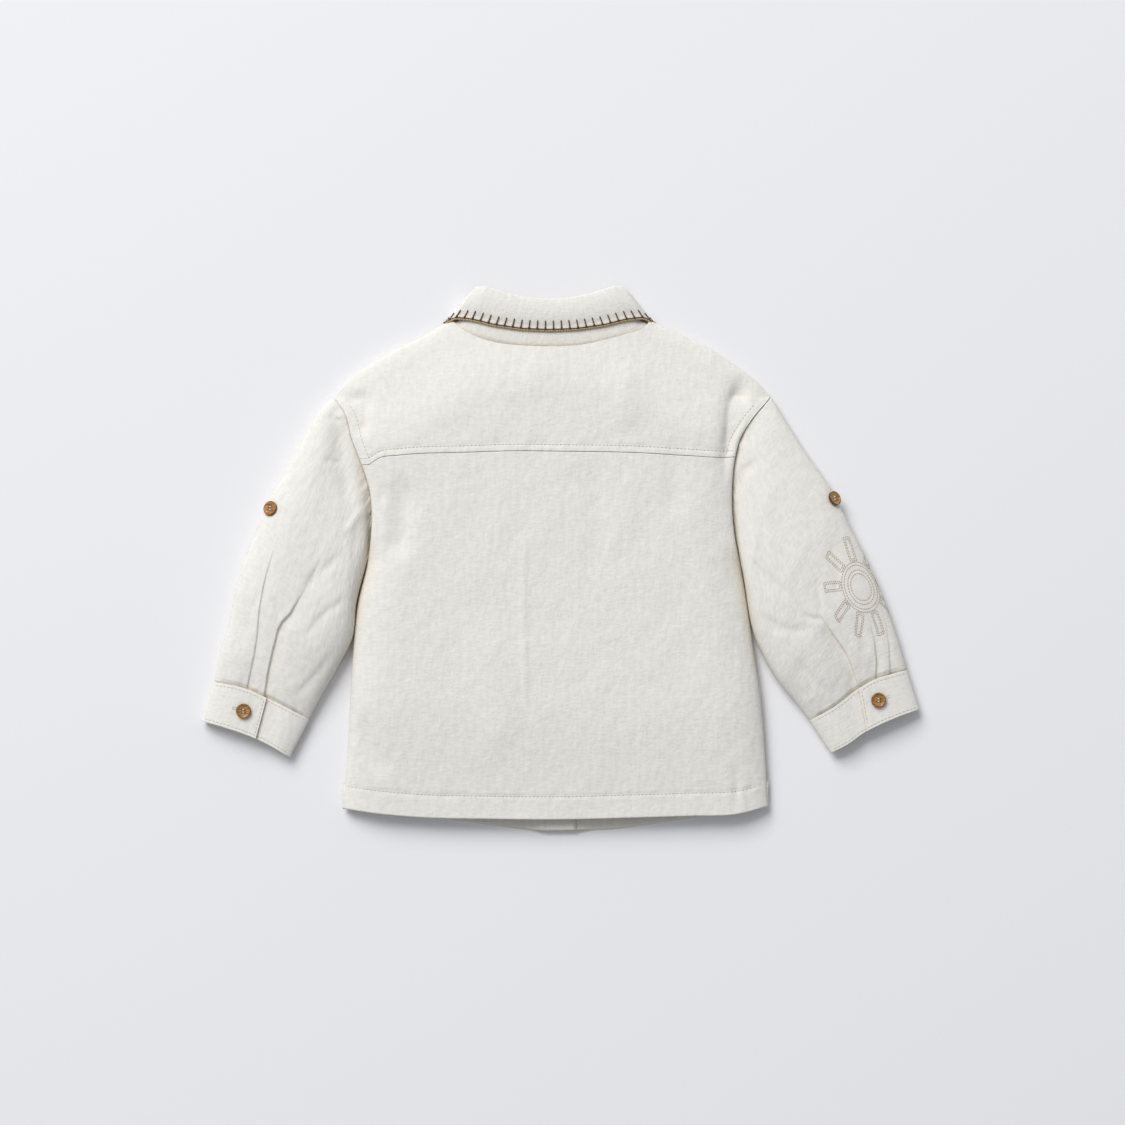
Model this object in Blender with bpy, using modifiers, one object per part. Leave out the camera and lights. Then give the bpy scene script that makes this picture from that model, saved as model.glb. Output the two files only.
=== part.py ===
# Embroidered baby shirt in crinkled cotton, laid face down, with its back on top.
# The plan is drawn in millimetres: x from the shirt's centre line, y towards the collar, z up.
# Run with: blender --background --python part.py

import math

import bmesh
import bpy
import numpy as np
from mathutils import Matrix

MM = 0.001
CENTRE_X = -5.8
CENTRE_Y = 0.0

# Walls, and the air between the pieces
WALL = 1.2
CUFF_WALL = 1.6
SEAM_GAP = 0.3
CURVE_GAP = 0.5
ARMHOLE_GAP = 1.0
BUTTON_GAP = 0.5
LAYER = WALL + SEAM_GAP

# How finely the pieces are divided. Rows are shares of a piece's length
BODY_COLUMNS = 24
SHOULDER_COLUMNS = 9
SHOULDER_ANGLES = 5
NECK_COLUMNS = 16
BACK_ROWS = (0.0, 0.03, 0.10, 0.175, 0.25, 0.33, 0.41, 0.485, 0.56, 0.635, 0.71, 0.785, 0.86, 0.93, 0.98, 1.0)
YOKE_ROWS = (0.0, 0.16, 0.32, 0.48, 0.64, 0.78, 0.88, 0.95, 0.99)
FRONT_ROWS = (0.0, 0.09, 0.18, 0.27, 0.36, 0.45, 0.54, 0.63, 0.72, 0.81, 0.90, 0.95, 1.0)
SLEEVE_ROWS = (0.0, 0.04, 0.10, 0.18, 0.25, 0.32, 0.40, 0.48, 0.55, 0.62, 0.70, 0.78, 0.85, 0.92, 0.97, 1.0)
STAND_ROWS = (0.0, 0.35, 0.70, 1.0)
LEAF_ROWS = (0.0, 0.33, 0.67, 1.0)
CURVE_POINTS = 241
FOLD_POINTS = 41
PLAN_PASSES = 12

COTTON = (0.80, 0.775, 0.73)
HORN = (0.42, 0.20, 0.07)

# Body: the back is a low dome over the flat front panels
BODY_HEIGHT = 19.0
HEM_HEIGHT = 14.0
HEM_SLOPE_LENGTH = 90.0
BODY_EDGE_RADIUS = 34.0
SIDE_EDGE_HEIGHT = 6.5
SIDE_EDGE_ROLL = 9.0
UNDERARM_LENGTH = 24.0
SHOULDER_HEIGHT = 9.0
SHOULDER_FALL_LENGTH = 75.0
SHOULDER_FOLD_HEIGHT = 4.6
SHOULDER_ROUND = 16.0
YOKE_WRAP = 16.0
ARMHOLE_EDGE_HEIGHT = 6.0
ARMHOLE_RISE = 6.0
ARMHOLE_ROUND = 24.0
FOLD_FADE = 14.0
FOLD_END_SHARE = 0.25
FOLD_END_DEPTH = 0.2
LOWEST_OVER_EDGE = 0.4
LOWEST_ROUND = 8.0

# Front closure: the right front laps over the left front
CLOSURE_X = 6.0
PLACKET_HALF_WIDTH = 11.6
PLACKET_RAMP = 15.0
FRONT_BUTTON_Y = (98.0, 42.0, -14.0, -70.0, -126.0)

# Buttons
BUTTON_RADIUS = 5.5
BUTTON_HEIGHT = 2.2
BUTTON_RIM_WIDTH = 1.1
BUTTON_DISH = 0.6
BUTTON_SIDES = 16
HOLE_COUNT = 4
HOLE_SIDES = 6
HOLE_RADIUS = 0.75
HOLE_OFFSET = 1.35
PLACKET_LIFT = BUTTON_HEIGHT + BUTTON_GAP

# Cuffs. Underlap, slope end and slope are shares of the cuff's width
CUFF_FOLD_Z = 6.4
CUFF_TOP_Z = 13.0
CUFF_ROUND = 26.0
CUFF_UNDERLAP = 0.26
CUFF_STEP = CUFF_WALL + SEAM_GAP
CUFF_SLOPE_END = 0.30
CUFF_SLOPE = 0.24
CUFF_ROWS = (0.018, 0.25, 0.5, 0.75, 1.0)
CUFF_OVER_COLUMNS = 9
CUFF_UNDER_COLUMNS = 9
CUFF_BACK_COLUMNS = 11
CUFF_EDGE_CLOSENESS = 1.6

# Sleeves. Fold start and fold early are shares of the sleeve's length
SLEEVE_LENGTH = 240.0
SLEEVE_WIDTH = 100.0
SLEEVE_TRIM = 0.4
SLEEVE_EDGE_FADE = 10.0
SLEEVE_TOP_COLUMNS = 20
SLEEVE_UNDER_COLUMNS = 9
SLEEVE_FOLD_START = 0.16
SLEEVE_FOLD_EARLY = 0.024
STEP_WIDTH = 1.1
STEP_COLUMN = 1.4

# Collar: the leaf lies on the floor under the front panels, which rise over it
COLLAR_X = -2.3
COLLAR_ZONE_Y = 155.0
COLLAR_ZONE_RADIUS = 88.0
COLLAR_ZONE_RAMP = 26.0
STAND_END_LIFT = 1.8

# Each side's edges in plan. Rows: outward from the centre line, along y
# Laps are shares of the cuff's width, and buttons are (across, along) shares of their piece
SIDES = {
    "left": {
        "sign": -1,
        "shoulder": [(70, 183), (76, 179.5), (95, 168), (118, 156.5), (138, 145), (153, 134), (164, 120.5)],
        "armhole": [(164, 120.5), (156, 110), (150, 89), (143.5, 72), (137, 51), (135.5, 25), (139, -4)],
        "side": [(139, -4), (146, -34), (150, -77), (152.5, -120), (154, -149), (156.8, -186.3)],
        "sleeve_outer": [(164, 120.5), (173.6, 111.5), (187, 89), (199, 66.5), (212.5, 44), (221.5, 21.5),
                         (230.5, -1), (237.5, -23.5), (242, -46), (248.5, -68.5), (253.7, -92)],
        "sleeve_inner": [(139, -4), (146.5, -34), (149, -58), (161.5, -83), (173, -103), (182, -120)],
        "cuff_seam": [(253.7, -92), (241, -94), (229, -97), (215.5, -103), (197, -112), (182, -120)],
        "cuff_hem": [(263.25, -121.5), (243.5, -127), (224, -134), (209, -141.5), (197, -149)],
        "cuff_lap": (0.54, 0.60),
        "cuff_button": (0.38, 0.50),
        "tab_button": (0.040, 0.408),
    },
    "right": {
        "sign": 1,
        "shoulder": [(70, 181.5), (77, 177), (96.4, 167.7), (120, 156.5), (137, 145), (152, 134), (163.5, 121)],
        "armhole": [(163.5, 121), (148, 102.5), (140, 88), (136.5, 73), (134.5, 51), (136, 20), (142, -10)],
        "side": [(142, -10), (150, -62), (156.4, -107), (159.4, -146), (161.4, -184.8)],
        "sleeve_outer": [(163.5, 121), (185.6, 85.2), (209.6, 50), (222.8, 23.7), (235.9, -2.6),
                         (248.6, -31.8), (259.9, -64), (265.5, -83)],
        "sleeve_inner": [(142, -10), (152.4, -62), (168.4, -91.8), (182, -108), (192.5, -121)],
        "cuff_seam": [(265.5, -83), (252, -86.5), (241, -90), (229.5, -96.5), (211.6, -110), (192.5, -121)],
        "cuff_hem": [(274.9, -113), (260, -118), (244, -124.8), (234, -130), (222.8, -138), (209, -145.8)],
        "cuff_lap": (0.47, 0.58),
        "cuff_button": (0.35, 0.47),
        "tab_button": (0.016, 0.390),
    },
}

# Rows: x from the centre line, y
YOKE_SEAM = [(-137, 70), (-129.4, 75), (-115, 77), (-63.4, 79.2), (-29, 80.3), (5.6, 80), (65.6, 78.8),
             (103, 76.6), (129.4, 75.5), (137, 76)]
BACK_HEM = [(-156.8, -186.3), (-133, -189.7), (-99.4, -192.6), (-54.4, -193.8), (13, -194.2), (58, -193),
            (103, -191.6), (137, -190.4), (161.4, -184.8)]
FRONT_HEM = [(-156.8, -185.8), (-133, -189.9), (-110.6, -192.5), (-77, -196), (-43, -200.5), (-20.6, -203.2),
             (17.6, -203.8), (47, -202.8), (80.6, -198.3), (123.4, -191.8), (161.4, -184.4)]
BACK_NECK = [(-77, 179), (-72.3, 173), (-55, 165.5), (-40, 161.3), (-20, 159.3), (3, 158.7), (23, 160.2),
             (40, 164), (56, 168.5), (67.7, 172), (72.5, 180)]
FRONT_NECK = [(-72.3, 168), (-66, 155), (-52, 138), (-32, 126), (-2.3, 120.5), (27.4, 126), (47.4, 138),
              (61.4, 155), (67.7, 168)]

# Sleeve height from the armhole, 0, to the cuff, 1
SLEEVE_STATIONS = [
    # along, fold_z, top_z, outer_round, inner_round
    (0.00, 6.0, 12.0, 24.0, 24.0),
    (0.08, 6.2, 14.5, 30.0, 26.0),
    (0.22, 7.0, 19.0, 42.0, 34.0),
    (0.45, 7.6, 22.0, 48.0, 36.0),
    (0.70, 7.4, 21.0, 44.0, 34.0),
    (0.90, 6.8, 16.5, 34.0, 28.0),
    (1.00, 6.2, 13.0, 26.0, 24.0),
]

# Sleeve folds run down the sleeve. across is from the outer fold, 0, to the inner fold, 1
SLEEVE_FOLDS = {
    "left": [
        # name, column, depth, half_width, step, rows of (along, across)
        ("slit", 9, 5.0, 4.0, 1, [(0.56, 0.56), (0.66, 0.53), (0.80, 0.53), (1.0, 0.54)]),
        ("pleat", 6, 3.0, 3.5, 1, [(0.46, 0.25), (0.60, 0.24), (0.80, 0.29), (1.0, 0.34)]),
    ],
    "right": [
        ("slit", 9, 4.5, 5.0, 1, [(0.60, 0.62), (0.72, 0.56), (0.86, 0.50), (1.0, 0.49)]),
        ("pleat_inner", 7, 3.0, 2.6, -1, [(0.72, 0.26), (0.86, 0.30), (1.0, 0.33)]),
        ("pleat_outer", 4, 2.6, 2.6, -1, [(0.72, 0.13), (0.86, 0.15), (1.0, 0.18)]),
    ],
}

# Large soft folds of the back. depth is below the form, or above it where negative
BODY_FOLDS = [
    # name, depth, half_width, rows of (x, y)
    ("right_valley", 6.5, 6.0, [(142, 140), (138, 119), (135.5, 100), (133, 80), (133, 50)]),
    ("left_valley", 2.5, 8.0, [(-141, 128), (-146, 108), (-143, 88)]),
    ("left_trough", 3.0, 9.0, [(-114, 68), (-112, 40), (-117, -8)]),
    ("middle_trough", 1.6, 8.0, [(32, 60), (33, 35), (30, 0)]),
    ("right_trough", 1.8, 8.0, [(92, 76), (92, 52)]),
    ("yoke_ridge", -1.4, 10.0, [(52, 150), (54, 120), (52, 90)]),
    ("hem_trough", 2.2, 8.0, [(-150, -112), (-138, -138), (-122, -166)]),
    ("low_ridge", -1.5, 14.0, [(-60, -40), (-40, -110), (-52, -165)]),
]

# Collar sections round half the neck, from the middle of the back, 0, to the middle of the front, 1
COLLAR_STATIONS = [
    # turn, seam (x, y, z), fold (x, y, z), edge (x, y, z)
    (0.00, (0, 159.3, 10.2), (0, 193.2, 9.6), (0, 171.5, 13.6)),
    (0.12, (21, 160.0, 10.2), (15, 194.0, 9.6), (20, 172.3, 13.6)),
    (0.24, (40, 163.5, 9.9), (31, 197.5, 9.4), (41, 175.3, 13.2)),
    (0.35, (55, 168.2, 9.4), (46, 202.4, 8.8), (58, 179.5, 12.4)),
    (0.44, (65, 173.4, 8.2), (53, 202.4, 7.6), (71, 182.8, 11.2)),
    (0.50, (68.6, 179.0, 5.2), (59, 196.0, 5.2), (80.0, 181.5, 5.5)),
    (0.53, (68.5, 176.5, 3.0), (59, 194.0, 3.0), (80.0, 180.8, 1.6)),
    (0.56, (68.2, 172.0, 1.5), (58, 190.0, 1.5), (79.5, 175.0, 0.0)),
    (0.64, (63, 158.0, 1.5), (51, 181.0, 1.5), (74, 150.0, 0.0)),
    (0.76, (48, 137.5, 1.5), (38, 165.0, 1.5), (63, 120.0, 0.0)),
    (0.86, (31, 126.5, 1.5), (24, 154.0, 1.5), (50, 100.0, 0.0)),
    (0.94, (12, 121.8, 1.5), (10, 149.0, 1.5), (22, 116.0, 0.0)),
    (1.00, (0.5, 120.9, 1.5), (0.5, 147.5, 1.5), (3.5, 128.0, 0.0)),
]
LEAF_CLEARANCE = WALL + 0.5
LEAF_START = 1.5
LEAF_CENTRE_Y = 160.0
LEAF_SIDE_TURN = 0.5
LEAF_SIDE_WIDTH = 0.10
LEAF_ROLL_START = 0.44
LEAF_ROLL_WIDTH = 0.12
STAND_LIFT_START = 0.86
STAND_END_LENGTH = 110.0


def smooth(t):
    t = np.clip(t, 0.0, 1.0)
    return t * t * (3.0 - 2.0 * t)


def roll(distance, radius):
    """Height, 0 to 1, of a rounded edge at a distance in from it."""
    t = np.clip(np.asarray(distance, float) / radius, 0.0, 1.0)
    return np.sqrt(1.0 - (1.0 - t) ** 2)


def along(points, t):
    """Points of a smooth curve through a short list, at fractions of its length."""
    points = np.asarray(points, float)
    steps = np.linalg.norm(np.diff(points, axis=0), axis=1)
    marks = np.concatenate([[0.0], np.cumsum(steps)]) / steps.sum()
    slopes = np.gradient(points, marks, axis=0)
    t = np.clip(np.atleast_1d(np.asarray(t, float)), 0.0, 1.0)
    i = np.clip(np.searchsorted(marks, t, side="right") - 1, 0, len(marks) - 2)
    span = (marks[i + 1] - marks[i])[:, None]
    s = ((t - marks[i])[:, None]) / span
    h00 = 2 * s**3 - 3 * s**2 + 1
    h10 = s**3 - 2 * s**2 + s
    h01 = -2 * s**3 + 3 * s**2
    h11 = s**3 - s**2
    return h00 * points[i] + h10 * span * slopes[i] + h01 * points[i + 1] + h11 * span * slopes[i + 1]


def mirrored(rows, sign):
    return [(sign * x, y) for x, y in rows]


def height_over(rows, x):
    """y of an edge, drawn from left to right, over x."""
    curve = along(rows, np.linspace(0, 1, CURVE_POINTS))
    return np.interp(x, curve[:, 0], curve[:, 1])


def body_edge(side, y):
    """x of the body's edge, armhole and side seam, at y."""
    rows = SIDES[side]["armhole"] + SIDES[side]["side"][1:]
    curve = along(mirrored(rows, SIDES[side]["sign"]), np.linspace(0, 1, CURVE_POINTS))[::-1]
    return np.interp(y, curve[:, 1], curve[:, 0])


def distance_to(rows, x, y):
    """Distance of plan points from a fold line, and how far along it they are, 0 to 1."""
    curve = along(rows, np.linspace(0, 1, FOLD_POINTS))
    gaps = np.hypot(x[..., None] - curve[:, 0], y[..., None] - curve[:, 1])
    nearest = gaps.argmin(axis=-1)
    return gaps.min(axis=-1), nearest / (FOLD_POINTS - 1)


def body_relief(x, y):
    """Height that the back's soft folds add."""
    total = np.zeros_like(x)
    for _, depth, half_width, rows in BODY_FOLDS:
        distance, place = distance_to(rows, x, y)
        ends = smooth(place / FOLD_END_SHARE) * smooth((1.0 - place) / FOLD_END_SHARE)
        fade = FOLD_END_DEPTH + (1.0 - FOLD_END_DEPTH) * ends
        total -= depth * fade * np.exp(-((distance / half_width) ** 2))
    return total


def collar_rise(x, y):
    """Height that the collar leaf beneath lifts the front panels and the yoke."""
    radius = np.hypot(x - COLLAR_X, y - COLLAR_ZONE_Y)
    return LAYER * (1.0 - smooth((radius - COLLAR_ZONE_RADIUS) / COLLAR_ZONE_RAMP))


def edge_height(side, y):
    """Height of the back's edge: raised at the armhole, low at the side seam."""
    tip = SIDES[side]["armhole"][0][1]
    underarm = SIDES[side]["armhole"][-1][1]
    rise = roll(tip - y, ARMHOLE_ROUND) * roll(y - underarm, ARMHOLE_ROUND)
    armhole = ARMHOLE_EDGE_HEIGHT + ARMHOLE_RISE * rise
    below = smooth((underarm - y) / UNDERARM_LENGTH)
    side_seam = ARMHOLE_EDGE_HEIGHT + (SIDE_EDGE_HEIGHT - ARMHOLE_EDGE_HEIGHT) * below
    return np.where(y >= underarm, armhole, side_seam)


def shoulder_edge(x):
    """y of the shoulder fold over x."""
    left = mirrored(SIDES["left"]["shoulder"], -1)[::-1]
    right = mirrored(SIDES["right"]["shoulder"], 1)
    return height_over(left + right, x)


def body_height(x, y):
    """Height of the back and the yoke over the floor."""
    hem = smooth((y - BACK_HEM[4][1]) / HEM_SLOPE_LENGTH)
    dome = HEM_HEIGHT + (BODY_HEIGHT - HEM_HEIGHT) * hem
    fall = smooth((shoulder_edge(x) - y) / SHOULDER_FALL_LENGTH)
    dome = SHOULDER_HEIGHT + (dome - SHOULDER_HEIGHT) * fall
    fold_round = roll(shoulder_edge(x) - y, SHOULDER_ROUND)
    dome = SHOULDER_FOLD_HEIGHT + (dome - SHOULDER_FOLD_HEIGHT) * fold_round
    left_x, right_x = body_edge("left", y), body_edge("right", y)
    left_z, right_z = edge_height("left", y), edge_height("right", y)
    side_z = np.where(x < 0.5 * (left_x + right_x), left_z, right_z)
    round_in = roll(x - left_x, BODY_EDGE_RADIUS) * roll(right_x - x, BODY_EDGE_RADIUS)
    inside = smooth(np.minimum(x - left_x, right_x - x) / FOLD_FADE)
    lowest = np.minimum(side_z + LOWEST_OVER_EDGE, side_z + LOWEST_ROUND * round_in)
    z = side_z + (dome - side_z) * round_in + body_relief(x, y) * inside
    return np.where(inside > 0, np.maximum(z, np.minimum(lowest, dome)), z)


def side_roll(side, x, y):
    """Height of a front panel beside its side seam, where it turns up to meet the back."""
    underarm = SIDES[side]["armhole"][-1][1]
    below = smooth((underarm - y) / UNDERARM_LENGTH)
    inward = np.abs(body_edge(side, y) - x)
    return SIDE_EDGE_HEIGHT * below * (1.0 - roll(inward, SIDE_EDGE_ROLL))


def cosine_spaced(count):
    return (1.0 - np.cos(np.pi * np.linspace(0, 1, count + 1))) / 2.0


def panel_plan(bottom, top, left, right, across, up):
    """Plan points between four edges given as functions: bottom and top over x, left and right over y."""
    u, v = np.meshgrid(across, up)
    x = np.zeros_like(u)
    y = bottom(x) * (1 - v) + top(x) * v
    for _ in range(PLAN_PASSES):
        x = left(y) * (1 - u) + right(y) * u
        y = bottom(x) * (1 - v) + top(x) * v
    return x, y


def to_points(x, y, z):
    return np.stack([x + CENTRE_X, y + CENTRE_Y, z], axis=-1) * MM


def cloth_object(name, grids, colour, wall, closed=False, flip=False):
    """One cloth wall: grids of points welded to one open sheet, then thickened inwards."""
    mesh = bpy.data.meshes.new(name)
    sheet = bmesh.new()
    for grid in grids:
        rows, columns = grid.shape[:2]
        verts = [[sheet.verts.new(point) for point in row] for row in grid]
        for i in range(rows - 1):
            for j in range(columns if closed else columns - 1):
                k = (j + 1) % columns
                corners = [verts[i][j], verts[i][k], verts[i + 1][k], verts[i + 1][j]]
                sheet.faces.new(corners[::-1] if flip else corners)
    bmesh.ops.remove_doubles(sheet, verts=sheet.verts, dist=1e-6)
    sheet.to_mesh(mesh)
    sheet.free()
    mesh.shade_smooth()
    thing = add_object(name, mesh, colour, 0.95)
    solid = thing.modifiers.new("wall", "SOLIDIFY")
    solid.thickness = wall * MM
    solid.offset = -1.0
    return thing


def add_object(name, mesh, colour, roughness):
    thing = bpy.data.objects.new(name, mesh)
    material = bpy.data.materials.new(name + "_finish")
    material.use_nodes = True
    shader = material.node_tree.nodes["Principled BSDF"]
    shader.inputs["Base Color"].default_value = (*colour, 1.0)
    shader.inputs["Roughness"].default_value = roughness
    shader.inputs["Metallic"].default_value = 0.0
    if not mesh.materials:
        mesh.materials.append(material)
    shirt_collection.objects.link(thing)
    thing.material_slots[0].link = "OBJECT"
    thing.material_slots[0].material = material
    return thing


def make_back_body():
    gap = SEAM_GAP / 2
    x, y = panel_plan(
        lambda x: height_over(BACK_HEM, x),
        lambda x: height_over(YOKE_SEAM, x) - gap,
        lambda y: body_edge("left", y) + gap,
        lambda y: body_edge("right", y) - gap,
        cosine_spaced(BODY_COLUMNS), BACK_ROWS)
    cloth_object("back_body", [to_points(x, y, body_height(x, y))], COTTON, WALL)


def neck_corner(side):
    return BACK_NECK[0][0] if side == "left" else BACK_NECK[-1][0]


def shoulder_columns(side, end_y):
    """x of the shoulder's columns from the neck corner to the armhole at end_y, closer near the armhole."""
    corner = neck_corner(side)
    end_x = body_edge(side, end_y) - SIDES[side]["sign"] * SEAM_GAP / 2
    return corner + (end_x - corner) * np.sin(np.linspace(0, math.pi / 2, SHOULDER_COLUMNS))


def shoulder_grid(side):
    """The yoke's part from the shoulder fold, round and under it, to the forward seam."""
    tip_y = SIDES[side]["armhole"][0][1]
    rows = []
    for angle in np.linspace(0, math.pi / 2, SHOULDER_ANGLES):
        back_in = SHOULDER_FOLD_HEIGHT * (1 - math.cos(angle))
        x = shoulder_columns(side, tip_y - back_in)
        edge = shoulder_edge(x)
        rise = collar_rise(x, edge)
        rows.append((x, edge - back_in, rise + (body_height(x, edge) - rise) * (1 - math.sin(angle))))
    x = shoulder_columns(side, tip_y - YOKE_WRAP)
    rows.append((x, shoulder_edge(x) - YOKE_WRAP, collar_rise(x, shoulder_edge(x) - YOKE_WRAP)))
    return np.array([to_points(*row) for row in rows])


def make_back_yoke():
    gap = SEAM_GAP / 2
    left_grid, right_grid = shoulder_grid("left"), shoulder_grid("right")
    corners = [neck_corner("left"), neck_corner("right")]
    neck_x = corners[0] + (corners[1] - corners[0]) * cosine_spaced(NECK_COLUMNS)[1:-1]
    neck_y = height_over(BACK_NECK, neck_x)
    neck = to_points(neck_x, neck_y, body_height(neck_x, neck_y))
    top_row = np.concatenate([left_grid[0][::-1], neck, right_grid[0]]) / MM
    top_x, top_y = top_row[:, 0] - CENTRE_X, top_row[:, 1] - CENTRE_Y
    spread = (top_x - top_x[0]) / (top_x[-1] - top_x[0])
    low_left = body_edge("left", YOKE_SEAM[0][1]) + gap
    low_right = body_edge("right", YOKE_SEAM[-1][1]) - gap
    low_x = low_left * (1 - spread) + low_right * spread
    low_y = height_over(YOKE_SEAM, low_x) + gap + CURVE_GAP
    grid = []
    for v in YOKE_ROWS:
        y = low_y * (1 - v) + top_y * v
        left_x = body_edge("left", y[0]) + gap
        right_x = body_edge("right", y[-1]) - gap
        x = (left_x * (1 - spread) + right_x * spread) * (1 - v) + top_x * v
        x = x + (left_x - x[0]) * (1 - spread) + (right_x - x[-1]) * spread
        grid.append(to_points(x, y, body_height(x, y)))
    grid.append(top_row * MM)
    cloth_object("back_yoke", [np.array(grid), left_grid[:, ::-1], right_grid], COTTON, WALL)


def make_front(side):
    """A front panel, from its placket's free edge to the side seam and the armhole."""
    sign = SIDES[side]["sign"]
    gap = SEAM_GAP / 2
    free_x = CLOSURE_X - sign * PLACKET_HALF_WIDTH
    seam_x = CLOSURE_X + sign * PLACKET_HALF_WIDTH
    lift = PLACKET_LIFT if side == "right" else PLACKET_LIFT + LAYER

    def top(x):
        neck = height_over(FRONT_NECK, x) - SEAM_GAP - CURVE_GAP
        shoulder = shoulder_edge(x) - YOKE_WRAP - SEAM_GAP - CURVE_GAP
        on_shoulder = (x <= neck_corner("left")) | (x >= neck_corner("right"))
        return np.where(on_shoulder, shoulder, np.minimum(neck, shoulder))

    def outer(y):
        return body_edge(side, y) - sign * gap

    corner_x = neck_corner(side)
    ramp_x = seam_x + sign * PLACKET_RAMP
    placket = np.array([free_x, CLOSURE_X, seam_x, 0.5 * (seam_x + ramp_x), ramp_x])
    past = len(placket)
    shoulder_x = shoulder_columns(side, SIDES[side]["armhole"][0][1] - YOKE_WRAP)
    tip_x = shoulder_x[-1]
    top_x = np.concatenate([np.linspace(ramp_x, corner_x, 4)[1:], shoulder_x[1:]])
    top_share = (top_x - ramp_x) / (tip_x - ramp_x)
    low_share = np.sin(np.linspace(0, math.pi / 2, len(top_x) + 1))[1:]
    rows = []
    for v in FRONT_ROWS:
        share = low_share * (1 - v**2) + top_share * v**2
        x = np.concatenate([placket, ramp_x + (tip_x - ramp_x) * share])
        for _ in range(PLAN_PASSES):
            y = height_over(FRONT_HEM, x) * (1 - v) + top(x) * v
            x[past:] = ramp_x + (outer(y[-1]) - ramp_x) * share
        if v == 1.0:
            x[past:], y = top_x, top(np.concatenate([placket, top_x]))
        beyond = sign * (x - seam_x)
        z = lift * (1 - smooth(beyond / PLACKET_RAMP))
        z = np.maximum(z, collar_rise(x, y)) + side_roll(side, x, y)
        rows.append(to_points(x, y, z))
    cloth_object("front_" + side, [np.array(rows)], COTTON, WALL, flip=sign > 0)


def sleeve_plan(side, across, length):
    """Plan points of a sleeve between its armhole, cuff seam, outer fold and inner fold."""
    data = SIDES[side]
    sign = data["sign"]
    start, end = data["armhole"], data["cuff_seam"]
    a = np.atleast_1d(across)[:, None]
    v = length
    armhole, cuff = along(start, a[:, 0]), along(end, a[:, 0])
    outer, inner = along(data["sleeve_outer"], [v])[0], along(data["sleeve_inner"], [v])[0]
    corners = (np.array(start[0]) * (1 - a) + np.array(start[-1]) * a) * (1 - v)
    corners = corners + (np.array(end[0]) * (1 - a) + np.array(end[-1]) * a) * v
    plan = armhole * (1 - v) + cuff * v + outer * (1 - a) + inner * a - corners
    return plan[:, 0] * sign, plan[:, 1], np.linalg.norm(outer - inner)


def fold_place(rows, length):
    rows = np.asarray(rows, float)
    return np.interp(length, rows[:, 0], rows[:, 1])


def sleeve_relief(side, across, length, width):
    """Depth of the sleeve's pleats and its slit: a step down beside each fold line, then a soft rise."""
    total = np.zeros_like(across)
    for _, _, depth, half_width, step, rows in SLEEVE_FOLDS[side]:
        fade = smooth((length - rows[0][0] + SLEEVE_FOLD_EARLY) / SLEEVE_FOLD_START)
        inward = (across - fold_place(rows, length)) * width * step
        drop = np.where(inward > 0, smooth(inward / STEP_WIDTH), 0.0)
        total -= depth * fade * drop * np.exp(-((inward / half_width) ** 2) / 2)
    return total


def sleeve_columns(side, across, length):
    """Columns moved so that one runs along each fold line and one just inside its step."""
    base, place = [0.0], [0.0]
    for _, column, _, _, step, rows in sorted(SLEEVE_FOLDS[side], key=lambda row: row[1]):
        fold = fold_place(rows, length)
        inner = fold + step * STEP_COLUMN * STEP_WIDTH / SLEEVE_WIDTH
        pair = sorted([(column, fold), (column + step, inner)])
        base += [across[pair[0][0]], across[pair[1][0]]]
        place += [pair[0][1], pair[1][1]]
    return np.interp(across, base + [1.0], place + [1.0])


def sleeve_height(side, across, length, width):
    """Top height of a sleeve, with its folds."""
    stations = np.array(SLEEVE_STATIONS)
    fold_z, top_z, outer_round, inner_round = [
        np.interp(length, stations[:, 0], stations[:, k]) for k in range(1, 5)]
    rise = roll(across * width, outer_round) * roll((1 - across) * width, inner_round)
    edge = smooth(np.minimum(across, 1 - across) * width / SLEEVE_EDGE_FADE)
    relief = sleeve_relief(side, across, length, width) * edge
    return fold_z + (top_z - fold_z) * rise + relief, fold_z


def make_sleeve(side):
    base = cosine_spaced(SLEEVE_TOP_COLUMNS)
    under = cosine_spaced(SLEEVE_UNDER_COLUMNS)[::-1][1:-1]
    trim = SLEEVE_TRIM / SLEEVE_LENGTH
    rows = []
    for v in SLEEVE_ROWS:
        length = trim + v * (1 - 2 * trim)
        top_a = sleeve_columns(side, base, length)
        x, y, width = sleeve_plan(side, top_a, length)
        top, fold_z = sleeve_height(side, top_a, length, width)
        ux, uy, _ = sleeve_plan(side, under, length)
        low = fold_z * (1 - roll(np.minimum(under, 1 - under) * width, fold_z))
        xs, ys = np.concatenate([x, ux]), np.concatenate([y, uy])
        inward = np.concatenate([top_a, under])
        xs = xs + SIDES[side]["sign"] * ARMHOLE_GAP * ((1 - v) + v * inward)
        rows.append(to_points(xs, ys, np.concatenate([top, low])))
    cloth_object("sleeve_" + side, [np.array(rows)], COTTON, WALL, closed=True,
                 flip=SIDES[side]["sign"] < 0)


def cuff_plan(side, across, down):
    data = SIDES[side]
    seam, hem = along(data["cuff_seam"], across), along(data["cuff_hem"], across)
    plan = seam * (1 - down) + hem * down
    seam_width = math.dist(data["cuff_seam"][0], data["cuff_seam"][-1])
    hem_width = math.dist(data["cuff_hem"][0], data["cuff_hem"][-1])
    width = seam_width * (1 - down) + hem_width * down
    return plan[:, 0] * data["sign"], plan[:, 1], width


def cuff_height(across, width):
    rise = roll(across * width, CUFF_ROUND) * roll((1 - across) * width, CUFF_ROUND)
    return CUFF_FOLD_Z + (CUFF_TOP_Z - CUFF_FOLD_Z) * rise


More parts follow.
